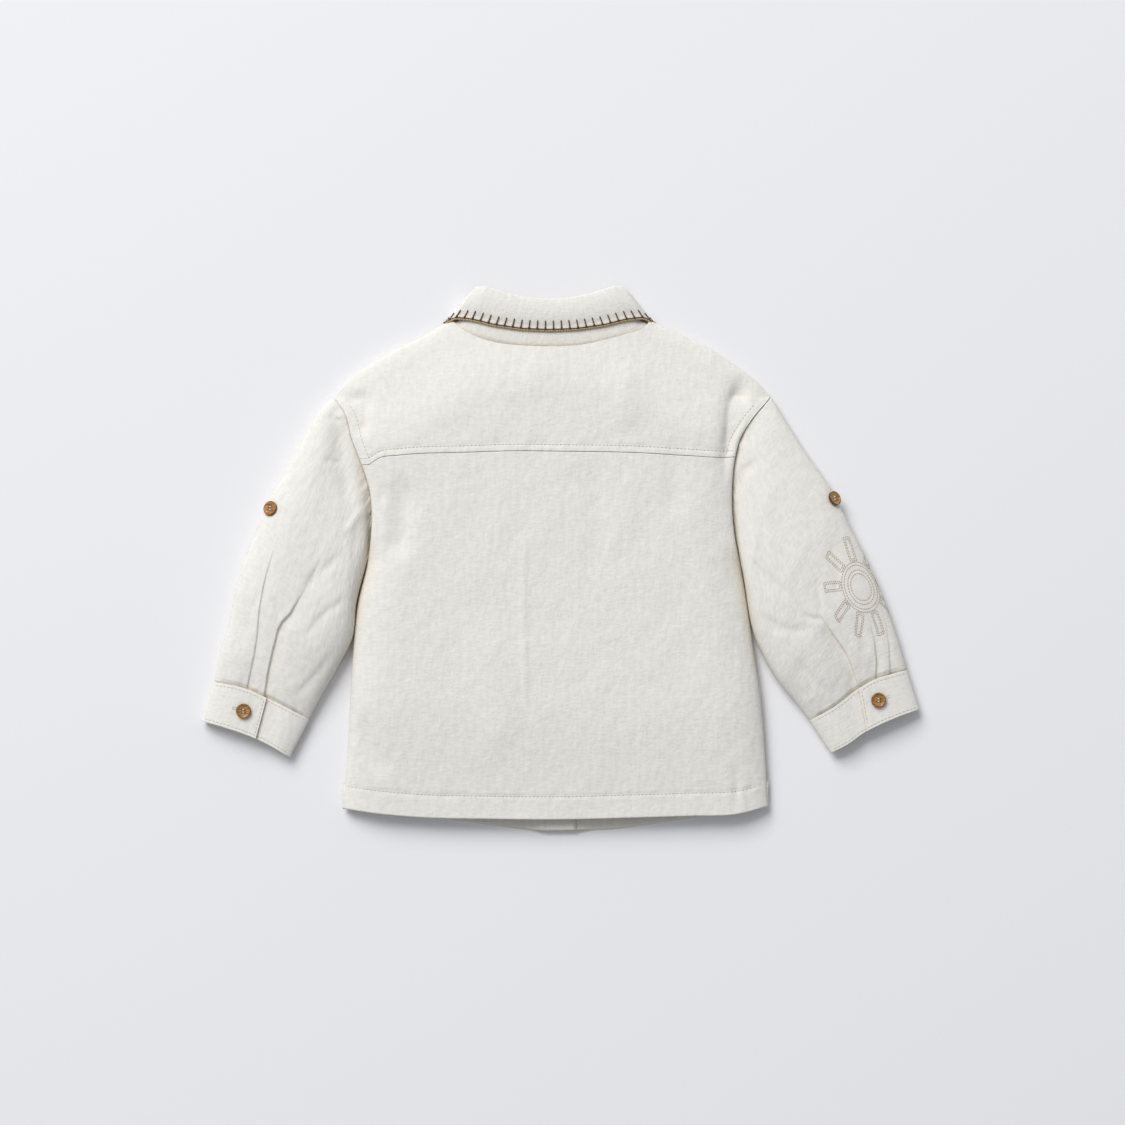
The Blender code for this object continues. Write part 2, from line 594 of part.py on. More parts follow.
def make_cuff(side):
    """A strip that goes round the wrist and laps over its own end on the back of the sleeve."""
    lap_seam, lap_hem = SIDES[side]["cuff_lap"]
    rows = []
    for down in CUFF_ROWS:
        lap = lap_seam * (1 - down) + lap_hem * down
        quarter = np.linspace(math.pi / 2, 0, CUFF_OVER_COLUMNS + 1)
        over = lap * np.sin(quarter) ** CUFF_EDGE_CLOSENESS
        under = cosine_spaced(CUFF_UNDER_COLUMNS)[1:-1]
        quarter = np.linspace(0, math.pi / 2, CUFF_BACK_COLUMNS + 1)
        back = 1 - (1 - lap + CUFF_UNDERLAP) * (1 - np.cos(quarter))
        across = np.concatenate([over, under, back])
        x, y, width = cuff_plan(side, np.clip(across, 0, 1), down)
        z_over = cuff_height(over, width)
        z_under = CUFF_FOLD_Z * (1 - roll(np.minimum(under, 1 - under) * width, CUFF_FOLD_Z))
        beneath = smooth((lap + CUFF_SLOPE_END - back) / CUFF_SLOPE)
        z_back = cuff_height(back, width) - CUFF_STEP * beneath
        rows.append(to_points(x, y, np.concatenate([z_over, z_under, z_back])))
    cloth_object("cuff_" + side, [np.array(rows)], COTTON, CUFF_WALL, flip=SIDES[side]["sign"] > 0)


def collar_ring(column, turns):
    """Points of one of the collar's rings at signed turns round the neck."""
    data = np.array([row[column] for row in COLLAR_STATIONS], float)
    marks = np.array([row[0] for row in COLLAR_STATIONS])
    sign = np.sign(turns)
    t = np.abs(turns)
    x, y, z = [np.interp(t, marks, data[:, k]) for k in range(3)]
    beyond = np.maximum(t - 1.0, 0.0)
    x = x - beyond * STAND_END_LENGTH
    return COLLAR_X + sign * x, y, z


def make_collar_stand():
    turns = np.concatenate([np.linspace(-1.1, -0.60, 10), np.linspace(-0.56, -0.44, 5),
                            np.linspace(-0.38, 0.38, 13), np.linspace(0.44, 0.56, 5),
                            np.linspace(0.60, 1.1, 10)])
    seam, fold = collar_ring(1, turns), collar_ring(2, turns)
    lift = STAND_END_LIFT * smooth((-turns - STAND_LIFT_START) / LEAF_SIDE_WIDTH)
    rows = []
    for v in STAND_ROWS:
        x, y, z = [seam[k] * (1 - v) + fold[k] * v for k in range(3)]
        rows.append(to_points(x, y, z + lift))
    cloth_object("collar_stand", [np.array(rows)], COTTON, WALL)


def make_collar_leaf():
    turns = np.concatenate([np.linspace(-1.0, -0.60, 9), np.linspace(-0.56, -0.44, 5),
                            np.linspace(-0.38, 0.38, 13), np.linspace(0.44, 0.56, 5),
                            np.linspace(0.60, 1.0, 9)])
    fold, edge = collar_ring(2, turns), collar_ring(3, turns)
    away = np.hypot(fold[0] - COLLAR_X, fold[1] - LEAF_CENTRE_Y)
    past_side = (np.abs(turns) - LEAF_SIDE_TURN) / LEAF_SIDE_WIDTH
    side_out = np.exp(-(past_side**2))
    start_x = fold[0] + (fold[0] - COLLAR_X) / away * LEAF_CLEARANCE * (1 + side_out)
    start_y = fold[1] + LEAF_START * (1 - 0.6 * smooth(past_side))
    up = np.cos(np.clip((np.abs(turns) - LEAF_ROLL_START) / LEAF_ROLL_WIDTH, 0, 1) * math.pi)
    start_z = np.where(up > 0, fold[2] + LEAF_CLEARANCE * up, np.maximum(fold[2] + LAYER * up, 0.0))
    rows = []
    for v in LEAF_ROWS:
        x = start_x * (1 - v) + edge[0] * v
        y = start_y * (1 - v) + edge[1] * v
        z = start_z * (1 - v) + edge[2] * v
        rows.append(to_points(x, y, z))
    cloth_object("collar_leaf", [np.array(rows)], COTTON, WALL, flip=True)


def button_mesh():
    """A dished round button with a raised rim and four thread holes."""
    profile = bpy.data.meshes.new("button_profile")
    top = BUTTON_HEIGHT
    dish = BUTTON_RADIUS - 2 * BUTTON_RIM_WIDTH
    outline = [(0, top - BUTTON_DISH), (dish, top - BUTTON_DISH), (BUTTON_RADIUS - BUTTON_RIM_WIDTH, top),
               (BUTTON_RADIUS, top - BUTTON_DISH), (BUTTON_RADIUS, 0), (0, 0)]
    edges = [(i, i + 1) for i in range(len(outline) - 1)]
    profile.from_pydata([(r * MM, 0, z * MM) for r, z in outline], edges, [])
    turned = bpy.data.objects.new("button_turned", profile)
    screw = turned.modifiers.new("turn", "SCREW")
    screw.steps = BUTTON_SIDES
    screw.render_steps = BUTTON_SIDES
    screw.use_merge_vertices = True
    screw.merge_threshold = 1e-5
    screw.use_smooth_shade = False
    shirt_collection.objects.link(turned)
    holes = bmesh.new()
    for k in range(HOLE_COUNT):
        angle = (k + 0.5) * 2 * math.pi / HOLE_COUNT
        made = bmesh.ops.create_cone(holes, cap_ends=True, segments=HOLE_SIDES, radius1=HOLE_RADIUS * MM,
                                     radius2=HOLE_RADIUS * MM, depth=3 * BUTTON_HEIGHT * MM)
        shift = (HOLE_OFFSET * math.cos(angle) * MM, HOLE_OFFSET * math.sin(angle) * MM, 0)
        bmesh.ops.translate(holes, verts=made["verts"], vec=shift)
    hole_mesh = bpy.data.meshes.new("button_holes")
    holes.to_mesh(hole_mesh)
    holes.free()
    cutter = bpy.data.objects.new("button_holes", hole_mesh)
    cutter.hide_render = True
    cutter.display_type = "WIRE"
    cutter_collection.objects.link(cutter)
    cut = turned.modifiers.new("holes", "BOOLEAN")
    cut.object = cutter
    cut.solver = "EXACT"
    view = bpy.context.evaluated_depsgraph_get()
    mesh = bpy.data.meshes.new_from_object(turned.evaluated_get(view))
    mesh.name = "button"
    bpy.data.objects.remove(turned)
    return mesh


def surface_frame(point_at, across, along_it):
    """A point of a surface given as a function of two numbers, and the surface's outward direction there."""
    step = 0.012
    here = point_at(across, along_it)
    along_a = point_at(across + step, along_it) - point_at(across - step, along_it)
    along_b = point_at(across, along_it + step) - point_at(across, along_it - step)
    normal = np.cross(along_a, along_b)
    normal /= np.linalg.norm(normal)
    return here, normal if normal[2] > 0 else -normal


def place_button(name, mesh, point, normal):
    thing = add_object(name, mesh, HORN, 0.35)
    z = normal / np.linalg.norm(normal)
    x = np.cross([0.0, 1.0, 0.0], z)
    x /= np.linalg.norm(x)
    y = np.cross(z, x)
    place = point + z * BUTTON_GAP * MM
    thing.matrix_world = Matrix([[x[i], y[i], z[i], place[i]] for i in range(3)] + [[0, 0, 0, 1]])


def make_buttons():
    mesh = button_mesh()
    for number, y in enumerate(FRONT_BUTTON_Y, 1):
        point = np.array([CLOSURE_X + CENTRE_X, y + CENTRE_Y, PLACKET_LIFT]) * MM
        place_button(f"front_button_{number}", mesh, point, np.array([0.0, 0.0, -1.0]))
    for side in ("left", "right"):
        data = SIDES[side]

        def cuff_point(a, down):
            x, y, width = cuff_plan(side, np.array([a]), down)
            return to_points(x, y, cuff_height(np.array([a]), width))[0]

        def sleeve_point(a, v):
            x, y, width = sleeve_plan(side, np.array([a]), v)
            return to_points(x, y, sleeve_height(side, np.array([a]), v, width)[0])[0]

        point, normal = surface_frame(cuff_point, *data["cuff_button"])
        place_button("cuff_button_" + side, mesh, point, normal)
        point, normal = surface_frame(sleeve_point, *data["tab_button"])
        place_button("tab_button_" + side, mesh, point, normal)


for leftover in list(bpy.data.objects):
    bpy.data.objects.remove(leftover)
shirt_collection = bpy.data.collections.new("embroidered_shirt")
cutter_collection = bpy.data.collections.new("cutters")
bpy.context.scene.collection.children.link(shirt_collection)
bpy.context.scene.collection.children.link(cutter_collection)

make_back_yoke()
make_back_body()
for side_name in ("left", "right"):
    make_front(side_name)
    make_sleeve(side_name)
    make_cuff(side_name)
make_collar_stand()
make_collar_leaf()
make_buttons()
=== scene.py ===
import math

import bmesh
import bpy
import numpy as np
from mathutils import Matrix, Vector
from mathutils.bvhtree import BVHTree


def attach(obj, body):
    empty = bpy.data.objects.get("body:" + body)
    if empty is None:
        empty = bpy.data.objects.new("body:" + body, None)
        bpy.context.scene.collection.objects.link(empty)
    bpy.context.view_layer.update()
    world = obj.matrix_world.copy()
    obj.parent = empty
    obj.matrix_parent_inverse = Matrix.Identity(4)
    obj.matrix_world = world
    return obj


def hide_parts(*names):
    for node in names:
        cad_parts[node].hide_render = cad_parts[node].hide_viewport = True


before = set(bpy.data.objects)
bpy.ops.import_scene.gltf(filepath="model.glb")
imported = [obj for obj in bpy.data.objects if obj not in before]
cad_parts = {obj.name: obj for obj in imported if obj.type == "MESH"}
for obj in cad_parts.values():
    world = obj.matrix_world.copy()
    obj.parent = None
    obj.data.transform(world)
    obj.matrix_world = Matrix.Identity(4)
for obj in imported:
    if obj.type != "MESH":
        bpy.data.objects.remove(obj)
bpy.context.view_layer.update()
bpy.ops.object.select_all(action="DESELECT")
print("frame loaded:", len(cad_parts), "nodes")

mm = 0.001
centreX = -5.8  # the centre line's place in the part's own frame

shirt = {  # the shape that its pieces share
    "clothThickness": 0.8,
    "cuffThickness": 1.5,
    "seamGap": 0.3,
    "curveGap": 0.1,
    "armholeGap": 0.5,
    "bodyHeight": 19.0,
    "hemHeight": 14.0,
    "hemSlopeLength": 90.0,
    "bodyEdgeRadius": 34.0,
    "sideEdgeHeight": 6.5,
    "sideEdgeRoll": 9.0,
    "underarmLength": 24.0,
    "shoulderHeight": 9.0,
    "shoulderFallLength": 75.0,
    "shoulderFoldHeight": 4.6,
    "shoulderRound": 16.0,
    "edgeTurn": 2.6,
    "yokeWrap": 16.0,
    "armholeEdgeHeight": 6.0,
    "armholeRise": 6.0,
    "armholeRound": 24.0,
    "closureX": 6.0,
    "placketHalfWidth": 11.6,
    "placketRamp": 15.0,
    "placketLift": 2.7,
    "clothLayer": 1.5,
    "collarX": -2.3,
    "collarZoneY": 155.0,
    "collarZoneRadius": 88.0,
    "collarZoneRamp": 26.0,
    "foldFade": 14.0,
    "creaseFade": 10.0,
    "leastRise": 0.4,
    "leastSlope": 8.0,
}

seeds = {"back": 11, "yokeSeam": 21, "hemSeam": 31, "left": 41, "right": 61}

sides = {  # outward from the centre line, y
    "left": {
        "sign": -1,
        "shoulder": [(70, 183), (76, 179.5), (95, 168), (118, 156.5), (138, 145), (153, 134), (164, 120.5)],
        "armhole": [(164, 120.5), (156, 110), (150, 89), (143.5, 72), (137, 51), (135.5, 25), (139, -4)],
        "side": [(139, -4), (146, -34), (150, -77), (152.5, -120), (154, -149), (156.8, -186.3)],
        "sleeveOuter": [(164, 120.5), (173.6, 111.5), (187, 89), (199, 66.5), (212.5, 44), (221.5, 21.5),
                        (230.5, -1), (237.5, -23.5), (242, -46), (248.5, -68.5), (253.7, -92)],
        "sleeveInner": [(139, -4), (146.5, -34), (149, -58), (161.5, -83), (173, -103), (182, -120)],
        "cuffSeam": [(253.7, -92), (241, -94), (229, -97), (215.5, -103), (197, -112), (182, -120)],
        "cuffHem": [(263.25, -121.5), (243.5, -127), (224, -134), (209, -141.5), (197, -149)],
        "cuffLap": (0.54, 0.60),
    },
    "right": {
        "sign": 1,
        "shoulder": [(70, 181.5), (77, 177), (96.4, 167.7), (120, 156.5), (137, 145), (152, 134), (163.5, 121)],
        "armhole": [(163.5, 121), (148, 102.5), (140, 88), (136.5, 73), (134.5, 51), (136, 20), (142, -10)],
        "side": [(142, -10), (150, -62), (156.4, -107), (159.4, -146), (161.4, -184.8)],
        "sleeveOuter": [(163.5, 121), (185.6, 85.2), (209.6, 50), (222.8, 23.7), (235.9, -2.6),
                        (248.6, -31.8), (259.9, -64), (265.5, -83)],
        "sleeveInner": [(142, -10), (152.4, -62), (168.4, -91.8), (182, -108), (192.5, -121)],
        "cuffSeam": [(265.5, -83), (252, -86.5), (241, -90), (229.5, -96.5), (211.6, -110), (192.5, -121)],
        "cuffHem": [(274.9, -113), (260, -118), (244, -124.8), (234, -130), (222.8, -138), (209, -145.8)],
        "cuffLap": (0.47, 0.58),
    },
}

yokeSeam = [(-137, 70), (-129.4, 75), (-115, 77), (-63.4, 79.2), (-29, 80.3), (5.6, 80), (65.6, 78.8),
            (103, 76.6), (129.4, 75.5), (137, 76)]
backHem = [(-156.8, -186.3), (-133, -189.7), (-99.4, -192.6), (-54.4, -193.8), (13, -194.2), (58, -193),
           (103, -191.6), (137, -190.4), (161.4, -184.8)]
frontHem = [(-156.8, -185.8), (-133, -189.9), (-110.6, -192.5), (-77, -196), (-43, -200.5), (-20.6, -203.2),
            (17.6, -203.8), (47, -202.8), (80.6, -198.3), (123.4, -191.8), (161.4, -184.4)]
backNeck = [(-76, 179.6), (-73, 176.6), (-66, 171.2), (-55, 165.5), (-40, 161.3), (-20, 159.3), (3, 158.7),
            (23, 160.2), (40, 164), (56, 168.5), (66, 171.6), (70.5, 175), (73, 179.6)]
frontNeck = [(-72.3, 168), (-66, 155), (-52, 138), (-32, 126), (-2.3, 120.5), (27.4, 126), (47.4, 138),
             (61.4, 155), (67.7, 168)]


def smoothStep(t):
    t = np.clip(t, 0.0, 1.0)
    return t * t * (3.0 - 2.0 * t)


def rounded(distance, radius):
    # height, 0 to 1, of a rounded edge at a distance in from it
    t = np.clip(np.asarray(distance, float) / radius, 0.0, 1.0)
    return np.sqrt(1.0 - (1.0 - t) ** 2)


def curveThrough(points, t):
    # points of a smooth curve through a short list, at fractions of its length
    points = np.asarray(points, float)
    steps = np.linalg.norm(np.diff(points, axis=0), axis=1)
    marks = np.concatenate([[0.0], np.cumsum(steps)]) / steps.sum()
    slopes = np.gradient(points, marks, axis=0)
    t = np.clip(np.atleast_1d(np.asarray(t, float)), 0.0, 1.0)
    i = np.clip(np.searchsorted(marks, t, side="right") - 1, 0, len(marks) - 2)
    span = (marks[i + 1] - marks[i])[:, None]
    s = (t - marks[i])[:, None] / span
    start = 2 * s**3 - 3 * s**2 + 1
    leave = s**3 - 2 * s**2 + s
    end = -2 * s**3 + 3 * s**2
    arrive = s**3 - s**2
    return start * points[i] + leave * span * slopes[i] + end * points[i + 1] + arrive * span * slopes[i + 1]


def pieceOf(base, side):
    return base + side.capitalize()


def mirroredRows(rows, sign):
    return [(sign * x, y) for x, y in rows]


def edgeOver(rows, x):
    curve = curveThrough(rows, np.linspace(0, 1, 161))
    return np.interp(x, curve[:, 0], curve[:, 1])


def bodyEdge(side, y):
    # x of the body's edge, armhole and side seam, at y
    rows = sides[side]["armhole"] + sides[side]["side"][1:]
    curve = curveThrough(mirroredRows(rows, sides[side]["sign"]), np.linspace(0, 1, 321))[::-1]
    return np.interp(y, curve[:, 1], curve[:, 0])


def foldDistance(rows, x, y):
    # distance of plan points from a fold line, how far along it they are, and which side of it they are on
    curve = curveThrough(rows, np.linspace(0, 1, 33))
    best, place, hand = np.full(x.shape, 1e9), np.zeros(x.shape), np.ones(x.shape)
    for k in range(len(curve) - 1):
        (startX, startY), (runX, runY) = curve[k], curve[k + 1] - curve[k]
        dx, dy = x - startX, y - startY
        share = np.clip((dx * runX + dy * runY) / (runX**2 + runY**2), 0.0, 1.0)
        gap = np.hypot(dx - share * runX, dy - share * runY)
        nearer = gap < best
        best = np.where(nearer, gap, best)
        place = np.where(nearer, (k + share) / (len(curve) - 1), place)
        hand = np.where(nearer, np.sign(runX * dy - runY * dx), hand)
    return best, place, hand


noise = {"cells": 97, "offset": (31.7, 17.3)}


def unevenness(x, y, sizeX, sizeY, seed):
    # soft random heights, -1 to 1, with lumps of the given size
    cells = noise["cells"]
    table = np.random.default_rng(seed).uniform(-1, 1, (cells, cells))
    u, v = x / sizeX + noise["offset"][0], y / sizeY + noise["offset"][1]
    i, j = np.floor(u).astype(int), np.floor(v).astype(int)
    s, t = smoothStep(u - i), smoothStep(v - j)
    i0, i1, j0, j1 = i % cells, (i + 1) % cells, j % cells, (j + 1) % cells
    low = table[i0, j0] * (1 - s) + table[i1, j0] * s
    high = table[i0, j1] * (1 - s) + table[i1, j1] * s
    return low * (1 - t) + high * t


creaseEnds = 0.3  # the share of its length in which a crease fades out at each end


def creases(table, x, y):
    # height that the creases of a table add: soft on one side, and as sharp as sharpness says on the other
    total = np.zeros_like(x)
    for _, depth, halfWidth, sharpness, rows in table:
        distance, place, hand = foldDistance(rows, x, y)
        fade = smoothStep(place / creaseEnds) * smoothStep((1.0 - place) / creaseEnds)
        width = np.where(hand > 0, halfWidth * (1 - sharpness), halfWidth)
        total -= depth * fade * np.exp(-((distance / width) ** 2))
    return total


cottonCrinkle = {
    "long": 0.20,
    "longSize": (4.2, 15.0),
    "patchSize": (40.0, 40.0),
    "short": 0.13,
    "shortSize": (3.4, 5.0),
    "shortLean": (0.22, 0.15),
    "broad": 0.32,
    "broadSize": (19.0, 30.0),
    "broadLean": 0.3,
}


def crinkle(u, v, seed):
    # fine creasing of the washed cotton, longer along the warp, v
    look = cottonCrinkle
    leanU, leanV = look["shortLean"]
    patches = 0.6 + 0.4 * unevenness(u, v, *look["patchSize"], seed + 5)
    longOnes = unevenness(u, v, *look["longSize"], seed) * patches
    shortOnes = unevenness(u + leanU * v, v - leanV * u, *look["shortSize"], seed + 1)
    broadOnes = unevenness(u - look["broadLean"] * v, v, *look["broadSize"], seed + 2)
    return look["long"] * longOnes + look["short"] * shortOnes + look["broad"] * broadOnes


def closerAt(count, spots):
    # fractions from 0 to 1 that lie closer together at the given spots: (where, half width, how much closer)
    t = np.linspace(0, 1, 4001)
    density = np.ones_like(t)
    for where, halfWidth, closer in spots:
        density += closer * np.exp(-(((t - where) / halfWidth) ** 4))
    total = np.concatenate([[0.0], np.cumsum((density[1:] + density[:-1]) / 2)])
    return np.interp(np.linspace(0, 1, count + 1), total / total[-1], t)


def inFrame(x, y, z):
    # plan millimetres to metres in the part's frame
    return np.stack([np.asarray(x, float) + centreX, np.asarray(y, float) + 0 * x, z + 0 * x], axis=-1) * mm


# the back: one dome over the fronts
backFolds = [  # name, depth, half width, sharpness, (x, y)
    ("rightValley", 6.5, 6.0, 0.0, [(142, 140), (138, 119), (135.5, 100), (133, 80), (133, 50)]),
    ("leftValley", 2.5, 8.0, 0.0, [(-141, 128), (-146, 108), (-143, 88)]),
    ("leftTrough", 3.0, 9.0, 0.0, [(-114, 68), (-112, 40), (-117, -8)]),
    ("middleTrough", 1.1, 9.0, 0.0, [(31, 84), (33, 35), (28, -20)]),
    ("rightTrough", 1.0, 8.0, 0.0, [(93, 92), (91, 60), (88, 25)]),
    ("yokeRidge", -1.4, 10.0, 0.0, [(52, 150), (54, 120), (52, 90)]),
    ("hemTrough", 2.2, 8.0, 0.0, [(-150, -112), (-138, -138), (-122, -166)]),
    ("lowRidge", -1.5, 14.0, 0.0, [(-60, -40), (-40, -110), (-52, -165)]),
]
backCreases = [
    ("middleCrease", -0.8, 3.0, 0.3, [(-20, 22), (-21, -40), (-19, -122)]),
    ("hemCrease", 0.9, 2.4, 0.3, [(137, -150), (138, -170), (137, -192)]),
    ("besideArmhole", 0.8, 4.0, 0.3, [(-124, 60), (-132, 30), (-128, 4)]),
]


def edgeHeight(side, y):
    tip = sides[side]["armhole"][0][1]
    underarm = sides[side]["armhole"][-1][1]
    rise = rounded(tip - y, shirt["armholeRound"]) * smoothStep((y - underarm) / shirt["armholeRound"])
    armhole = shirt["armholeEdgeHeight"] + shirt["armholeRise"] * rise
    below = smoothStep((underarm - y) / shirt["underarmLength"])
    sideSeam = shirt["armholeEdgeHeight"] + (shirt["sideEdgeHeight"] - shirt["armholeEdgeHeight"]) * below
    return np.where(y >= underarm, armhole, sideSeam)


def sideRoll(side, x, y):
    # height of a front beside its side seam, where it turns up to meet the back
    below = smoothStep((sides[side]["armhole"][-1][1] - y) / shirt["underarmLength"])
    inward = np.abs(bodyEdge(side, y) - x)
    return shirt["sideEdgeHeight"] * below * (1.0 - rounded(inward, shirt["sideEdgeRoll"]))


def shoulderEdge(x):
    left = mirroredRows(sides["left"]["shoulder"], -1)[::-1]
    right = mirroredRows(sides["right"]["shoulder"], 1)
    return edgeOver(left + right, x)


def collarRise(x, y):
    # what the collar leaf beneath lifts the fronts and the yoke
    radius = np.hypot(x - shirt["collarX"], y - shirt["collarZoneY"])
    past = (radius - shirt["collarZoneRadius"]) / shirt["collarZoneRamp"]
    return shirt["clothLayer"] * (1.0 - smoothStep(past))


def backForm(x, y):
    hem = smoothStep((y - backHem[4][1]) / shirt["hemSlopeLength"])
    dome = shirt["hemHeight"] + (shirt["bodyHeight"] - shirt["hemHeight"]) * hem
    fall = smoothStep((shoulderEdge(x) - y) / shirt["shoulderFallLength"])
    dome = shirt["shoulderHeight"] + (dome - shirt["shoulderHeight"]) * fall
    foldZ = shirt["shoulderFoldHeight"]
    dome = foldZ + (dome - foldZ) * rounded(shoulderEdge(x) - y, shirt["shoulderRound"])
    leftX, rightX = bodyEdge("left", y), bodyEdge("right", y)
    leftZ, rightZ = edgeHeight("left", y), edgeHeight("right", y)
    sideZ = np.where(x < 0.5 * (leftX + rightX), leftZ, rightZ)
    roundIn = rounded(x - leftX, shirt["bodyEdgeRadius"]) * rounded(rightX - x, shirt["bodyEdgeRadius"])
    inside = smoothStep(np.minimum(x - leftX, rightX - x) / shirt["foldFade"])
    folds = creases(backFolds, x, y)
    z = sideZ + (dome - sideZ) * roundIn + folds * inside
    # a fold may go down as far as the sides' height, and not under it
    floorZ = np.minimum(np.minimum(sideZ + shirt["leastRise"], sideZ + shirt["leastSlope"] * roundIn), dome)
    return np.where(inside > 0, np.maximum(z, floorZ), z)


seamStitching = {
    "yokeUp": 5.2,
    "hemUp": 16.5,
    "grooveDepth": 0.35,
    "grooveWidth": 1.6,
    "pucker": 0.35,
    "puckerSize": (3.6, 9.0),
    "puckerReach": 4.5,
}


def stitchedGroove(distance, along, seed):
    # the dip that a row of stitches pulls, with the small puckers across it
    pull = np.exp(-((distance / seamStitching["grooveWidth"]) ** 2))
    near = np.exp(-((distance / seamStitching["puckerReach"]) ** 2))
    pucker = unevenness(along, distance, *seamStitching["puckerSize"], seed) * near
    return -seamStitching["grooveDepth"] * pull + seamStitching["pucker"] * pucker


def backSurface(x, y):
    z = backForm(x, y)
    leftX, rightX = bodyEdge("left", y), bodyEdge("right", y)
    inside = smoothStep(np.minimum(x - leftX, rightX - x) / shirt["creaseFade"])
    z = z + inside * (creases(backCreases, x, y) + crinkle(x, y, seeds["back"]))
    for seam, up, seed in ((yokeSeam, "yokeUp", "yokeSeam"), (backHem, "hemUp", "hemSeam")):
        z = z + inside * stitchedGroove(y - edgeOver(seam, x) - seamStitching[up], x, seeds[seed])
    return z


# cloth shells
def applyModifiers(thing):
    bpy.context.view_layer.objects.active = thing
    for modifier in list(thing.modifiers):
        bpy.ops.object.modifier_apply(modifier=modifier.name)


def sewnCloth(name, grids, thickness, closed=False, flip=False):
    # grids are (points, cloth places), rows by columns; where their edges meet they are merged
    points, places, faces, first = [], [], [], 0
    for grid, place in grids:
        rows, columns = grid.shape[:2]
        index = first + np.arange(rows * columns).reshape(rows, columns)
        if closed:
            index = np.concatenate([index, index[:, :1]], axis=1)
        corners = np.stack([index[:-1, :-1], index[:-1, 1:], index[1:, 1:], index[1:, :-1]], axis=-1)
        corners = corners.reshape(-1, 4)
        faces.append(corners[:, ::-1] if flip else corners)
        points.append(grid.reshape(-1, 3))
        places.append(np.asarray(place, float).reshape(-1, 3))
        first += rows * columns
    mesh = bpy.data.meshes.new(name)
    mesh.from_pydata(np.concatenate(points).tolist(), [], np.concatenate(faces).tolist())
    attribute = mesh.attributes.new("clothPlace", "FLOAT_VECTOR", "POINT")
    attribute.data.foreach_set("vector", np.concatenate(places).astype(np.float32).ravel())
    if len(grids) > 1:
        sheet = bmesh.new()
        sheet.from_mesh(mesh)
        bmesh.ops.remove_doubles(sheet, verts=sheet.verts, dist=1e-6)
        sheet.to_mesh(mesh)
        sheet.free()
    thing = bpy.data.objects.new(name, mesh)
    bpy.context.scene.collection.objects.link(thing)
    wall = thing.modifiers.new("wall", "SOLIDIFY")
    wall.thickness = thickness * mm
    wall.offset = -1.0
    applyModifiers(thing)
    # the corner of an edge may stand out past the wall, but not into the floor
    for vertex in thing.data.vertices:
        vertex.co.z = max(vertex.co.z, 0.0)
    thing.data.shade_smooth()
    return thing


def clothPlaces(x, y):
    return np.stack([x, y, 0 * x], axis=-1)


def panelPlan(bottom, top, left, right, across, up):
    u, v = np.meshgrid(across, up)
    x = np.zeros_like(u)
    y = bottom(x) * (1 - v) + top(x) * v
    for _ in range(12):
        x = left(y) * (1 - u) + right(y) * u
        y = bottom(x) * (1 - v) + top(x) * v
    return x, y


hemTurn = {"ups": (18.0, 10.0, 4.0, 1.5), "turns": (0.15, 0.35, 0.5, 0.65, 0.85), "edgeRadius": 0.85}
seamAllowance = {"steps": (0.35, 3.0, 6.5), "below": 1.0}
sideTurn = {"angles": (25, 50, 75, 100, 120), "tipFade": 8.0, "aboveFloor": 1.0, "leastShare": 0.1}


def turnedSides(x, y, z):
    # adds columns at both sides that roll the edge down and in, over the sleeve's seam
    fade = smoothStep((sides["left"]["armhole"][0][1] - y) / sideTurn["tipFade"])
    left, right = [], []
    for angle in np.radians(sideTurn["angles"]):
        for columns, edge, inward in ((left, 0, 1.0), (right, -1, -1.0)):
            radius = np.minimum(shirt["edgeTurn"], z[:, edge] - sideTurn["aboveFloor"])
            radius = radius * np.maximum(fade[:, edge], sideTurn["leastShare"])
            turnedX = x[:, edge] + inward * radius * (1 - math.cos(angle))
            columns.append((turnedX, y[:, edge], z[:, edge] - radius * math.sin(angle)))
    whole = left[::-1] + [None] + right
    stacks = []
    for k, middle in enumerate((x, y, z)):
        pieces = [middle if column is None else column[k][:, None] for column in whole]
        stacks.append(np.concatenate(pieces, axis=1))
    return stacks


# each panel's columns and rows, and where they lie closer together
backGrid = {
    "across": (178, [(0.0, 0.045, 1.2), (1.0, 0.045, 1.2)]),
    "up": (168, [(0.0, 0.012, 1.2), (0.061, 0.012, 1.2), (1.0, 0.02, 1.8)]),
}


